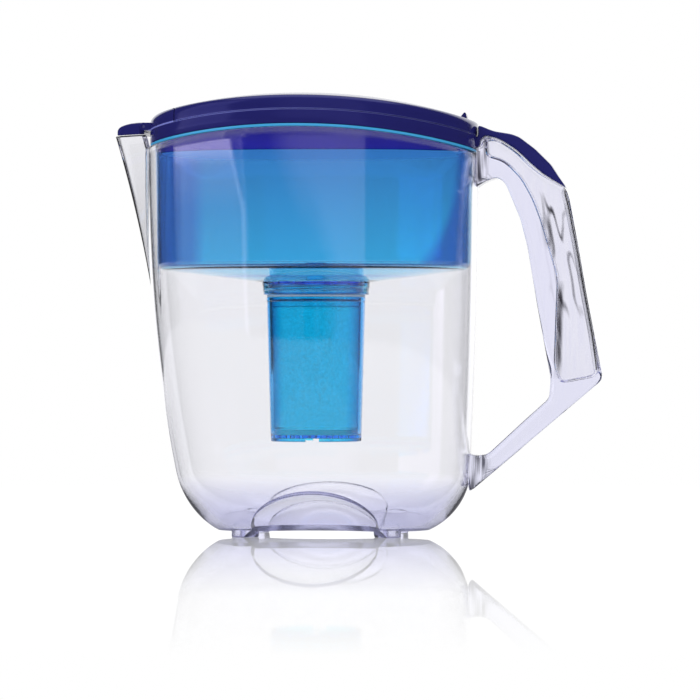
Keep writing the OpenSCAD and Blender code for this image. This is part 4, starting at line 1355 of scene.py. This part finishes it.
def granular(tree, colour, size, rough, contrast, through):
    """Packed grains: cells of a given size, each with its own tone, domed towards its middle, and painted
    shade in the gaps between them.

    A share of the light goes through them, as through damp beads.
    """
    where = tree.place()
    cell = {"Vector": where, "Scale": 1.0 / size, "Randomness": 0.9}
    near = tree.add("ShaderNodeTexVoronoi", {}, cell)
    shade = tree.split(tree.add("ShaderNodeTexVoronoi", {}, cell, 1))[0]
    edge = tree.add("ShaderNodeTexVoronoi", {"feature": "DISTANCE_TO_EDGE"}, cell)
    # Painted shade: the colour darkens along the edges between grains, where the gaps would lie in shade.
    gap = (edge * 6.0).clamp()
    tone = tree.mix(shade, four(colour, 1 - contrast), four(colour, 1 + contrast * 0.25))
    body = tree.principled({
        "Base Color": tree.mix(gap, four(colour, 0.55), tone),
        "Roughness": rough + 0.1 * shade, "IOR": 1.08, "Transmission Weight": through,
        "Normal": tree.bump(1.0 - near, 0.12, size * 0.6)})
    output(tree, body)


@finish("packed_beads")
def resin_beads(tree):
    """Pale damp beads."""
    granular(tree, colours().resin, 0.0008, 0.04, 0.08, 0.985)


@finish("packed_granules")
def carbon_granules(tree):
    """Carbon granules, larger than the beads."""
    granular(tree, colours().carbon, 0.0013, 0.06, 0.12, 0.985)


# ---------------------------------------------------------------- stage

# The camera's azimuth and elevation in degrees, its distance in metres, its focal length in millimetres, and
# what it looks at: metres from the jug's axis towards the handle, and height.
CAMERA_FROM, CAMERA_DISTANCE, CAMERA_LENS, CAMERA_AT = (4.5, -0.1), 2.6, 224.0, (0.0203, 0.1104)
LIGHTS_AT = (0.0, 0.0, 0.12)


@finish("white_floor")
def white_floor(tree):
    """White sheet with a soft shadow and a gloss seen at low angles, both fading to plain white outwards."""
    where = tree.place()
    x, y, _ = tree.split(where)
    far = (x * x + y * y) ** 0.5
    near = (1.0 - far / 1.05).clamp()
    grain = tree.noise(where, 60.0, 2.0)
    sheet = tree.mix(grain, (0.93, 0.93, 0.93, 1), (0.95, 0.95, 0.95, 1))
    paper = tree.add("ShaderNodeBsdfDiffuse", {}, {0: sheet})
    glow = tree.add("ShaderNodeEmission", {}, {0: (1, 1, 1, 1), 1: 1.0})
    mirror = tree.add("ShaderNodeBsdfGlossy", {}, {0: (1, 1, 1, 1), "Roughness": 0.015})
    shade = (1.0 - far / 0.42).clamp() * 0.5
    lit = tree.blend(1.0 - shade, paper, glow)
    low_angle = tree.add("ShaderNodeLayerWeight", output=1).past(0.72, 0.2)
    seen = tree.blend(near * low_angle * 0.78, lit, mirror)
    camera, shiny, through = tree.rays("Is Camera Ray", "Is Glossy Ray", "Is Transmission Ray")
    dim = tree.add("ShaderNodeEmission", {}, {0: (0.9, 0.9, 1.0, 1), 1: 0.22})
    body = tree.blend(shiny * (1.0 - through), tree.blend((camera + through).clamp(), paper, seen), dim)
    tree.add("ShaderNodeOutputMaterial", {}, {0: body})


def studio_world():
    """White backdrop behind, dark sides, two softboxes and a strip in front, and one above.

    Mirror rays see all of it. Rays that went straight through a clear wall see white, and matt ones plain
    light.
    """
    world = bpy.data.worlds.new("studio")
    world.use_nodes = True
    world.node_tree.nodes.clear()
    tree = Tree(world)
    # Azimuth is 0 in front and grows to the right, height is the elevation; both are in degrees.
    way = tree.add("ShaderNodeTexCoord", output=0)
    x, y, z = tree.split(way)
    azimuth = tree.add("ShaderNodeMath", {"operation": "ARCTAN2"}, {0: x, 1: -1.0 * y}) * (180 / math.pi)
    height = tree.add("ShaderNodeMath", {"operation": "ARCSINE"}, {0: z}) * (180 / math.pi)

    def window(value, low, high, soft):
        return value.past(low, soft) * value.until(high, soft)

    backdrop = azimuth.abs().past(146.0, 6.0) * window(height, -60.0, 58.0, 8.0)
    tall = window(height, -12.0, 55.0, 4.0)
    edge = azimuth + 12.0 * height.past(0.0, 4.0)
    grown = 0.40 + 0.36 * (height.clamp() + (height - 1.0).clamp()) + 2.2 * window(height, 1.7, 3.7, 0.6)
    left = window(azimuth, -87.0, 0.0, 1.5) * edge.until(-25.0, 1.0) * grown
    strip = window(edge, -26.6, -24.2, 0.6) * 1.1
    right = (azimuth + 12.0 * height.past(-1.6, 4.0)).past(-2.0, 6.0) * azimuth.until(16.5, 1.5) * 0.5
    overhead = height.past(62.0, 6.0) * 1.8
    boxes = tall * (left + strip + right)
    shown = 0.04 + backdrop * (1.0 + 0.10 * height.past(-1.5, 2.5)) + boxes + overhead
    camera, shiny, through, mirrored = tree.rays("Is Camera Ray", "Is Glossy Ray", "Is Transmission Ray",
                                                 "Glossy Depth")
    clear = (shiny + through).clamp()
    straight = through * (1.0 - mirrored).clamp()
    shown = shown + straight * (1.0 - shown)
    plain = 0.62 + 0.25 * height / 90.0
    level = camera + (1.0 - camera) * (clear * shown + (1.0 - clear) * plain)
    violet = (1.0 - camera) * clear * (1.0 - straight) * (boxes * 4.0).clamp()
    hue = tree.mix(violet, (1.0, 1.0, 1.0, 1.0), (0.86, 0.80, 1.0, 1.0))
    sky = tree.add("ShaderNodeBackground", {}, {0: hue, 1: level})
    tree.add("ShaderNodeOutputWorld", {}, {0: sky})
    bpy.context.scene.world = world


def direction(azimuth, elevation):
    """Unit vector towards a place seen at an azimuth from the front and an elevation, both in degrees."""
    a, e = math.radians(azimuth), math.radians(elevation)
    return np.array([math.sin(a) * math.cos(e), -math.cos(a) * math.cos(e), math.sin(e)])


def lamp(name, azimuth, elevation, distance, size, watts):
    """A rectangular light aimed at the jug's middle, seen by no camera, mirror or clear ray."""
    light = bpy.data.lights.new(name, "AREA")
    light.shape, light.size, light.size_y, light.energy = "RECTANGLE", size[0], size[1], watts
    thing = bpy.data.objects.new(name, light)
    back = direction(azimuth, elevation)
    aim(thing, np.array(LIGHTS_AT) + back * distance, back)
    thing.visible_camera = thing.visible_glossy = thing.visible_transmission = False
    bpy.context.scene.collection.objects.link(thing)


def aim(thing, place, back):
    """Sets an object at a place, with its own Z along back and its X level."""
    side = np.cross([0, 0, 1], back)
    side /= np.linalg.norm(side)
    up = np.cross(back, side)
    matrix = np.eye(4)
    matrix[:3, 0], matrix[:3, 1], matrix[:3, 2], matrix[:3, 3] = side, up, back, place
    thing.matrix_world = Matrix(matrix.tolist())


class PITCHER_OT_stage(bpy.types.Operator):
    """Make the white floor, the soft studio light and the camera"""

    bl_idname = "pitcher.stage"
    bl_label = "Stage"

    def execute(self, context):
        scene = context.scene
        scene.view_settings.view_transform = "Standard"
        angle = np.linspace(0, 2 * np.pi, 96, endpoint=False)[None, :]
        reach = np.array([0.05, 0.3, 0.8, 1.5])[:, None] * 1000
        rows = on_plan(angle, reach, 0.0)
        cols = rows.shape[1]
        points = np.concatenate([rows.reshape(-1, 3), [[0, 0, 0]]])
        faces = [closed_quads(len(rows), cols), fan(len(points) - 1, 0, cols)]
        sheet = fill("floor", points, faces, turn=False)
        sheet.data.materials.append(white_floor())
        studio_world()
        lamp("key", -40, 48, 1.6, (1.3, 1.0), 9.0)
        lamp("fill", 55, 30, 1.9, (1.2, 1.2), 4.0)
        camera = bpy.data.cameras.new("camera")
        camera.sensor_width, camera.lens = 36.0, CAMERA_LENS
        camera.clip_end = 50.0
        eye = bpy.data.objects.new("camera", camera)
        back = direction(*CAMERA_FROM)
        target = np.array([AXIS_X + CAMERA_AT[0], 0.0, CAMERA_AT[1]])
        aim(eye, target + back * CAMERA_DISTANCE, back)
        scene.collection.objects.link(eye)
        scene.camera = eye
        scene.cycles.max_bounces = 32
        scene.cycles.transmission_bounces = 28
        scene.cycles.glossy_bounces = 12
        scene.cycles.transparent_max_bounces = 32
        scene.cycles.caustics_reflective = False
        return {"FINISHED"}


# ---------------------------------------------------------------- panel and run

STEPS = (PITCHER_OT_stage, PITCHER_OT_jug, PITCHER_OT_handle, PITCHER_OT_funnel, PITCHER_OT_cartridge,
         PITCHER_OT_seal, PITCHER_OT_media, PITCHER_OT_lid_frame, PITCHER_OT_flip_lid, PITCHER_OT_spout_flap,
         PITCHER_OT_pins)


class PITCHER_PT_panel(bpy.types.Panel):
    """Lists the pitcher's sizes, colours and steps"""

    bl_idname = "PITCHER_PT_panel"
    bl_label = "Water Filter Pitcher"
    bl_space_type = "VIEW_3D"
    bl_region_type = "UI"
    bl_category = "Pitcher"

    def draw(self, context):
        layout = self.layout
        for group in (context.scene.pitcher_sizes, context.scene.pitcher_colours):
            box = layout.box()
            for name in group.__annotations__:
                box.prop(group, name)
        for step in STEPS:
            layout.operator(step.bl_idname)


CLASSES = (PitcherSizes, PitcherColours) + STEPS + (PITCHER_PT_panel,)


def register():
    for one in CLASSES:
        bpy.utils.register_class(one)
    bpy.types.Scene.pitcher_sizes = PointerProperty(type=PitcherSizes)
    bpy.types.Scene.pitcher_colours = PointerProperty(type=PitcherColours)


def unregister():
    del bpy.types.Scene.pitcher_colours
    del bpy.types.Scene.pitcher_sizes
    for one in reversed(CLASSES):
        bpy.utils.unregister_class(one)


def main():
    register()
    for step in STEPS:
        group, name = step.bl_idname.split(".")
        if getattr(getattr(bpy.ops, group), name)() != {"FINISHED"}:
            raise RuntimeError(step.bl_label + " was not made")


if __name__ == "__main__":
    main()
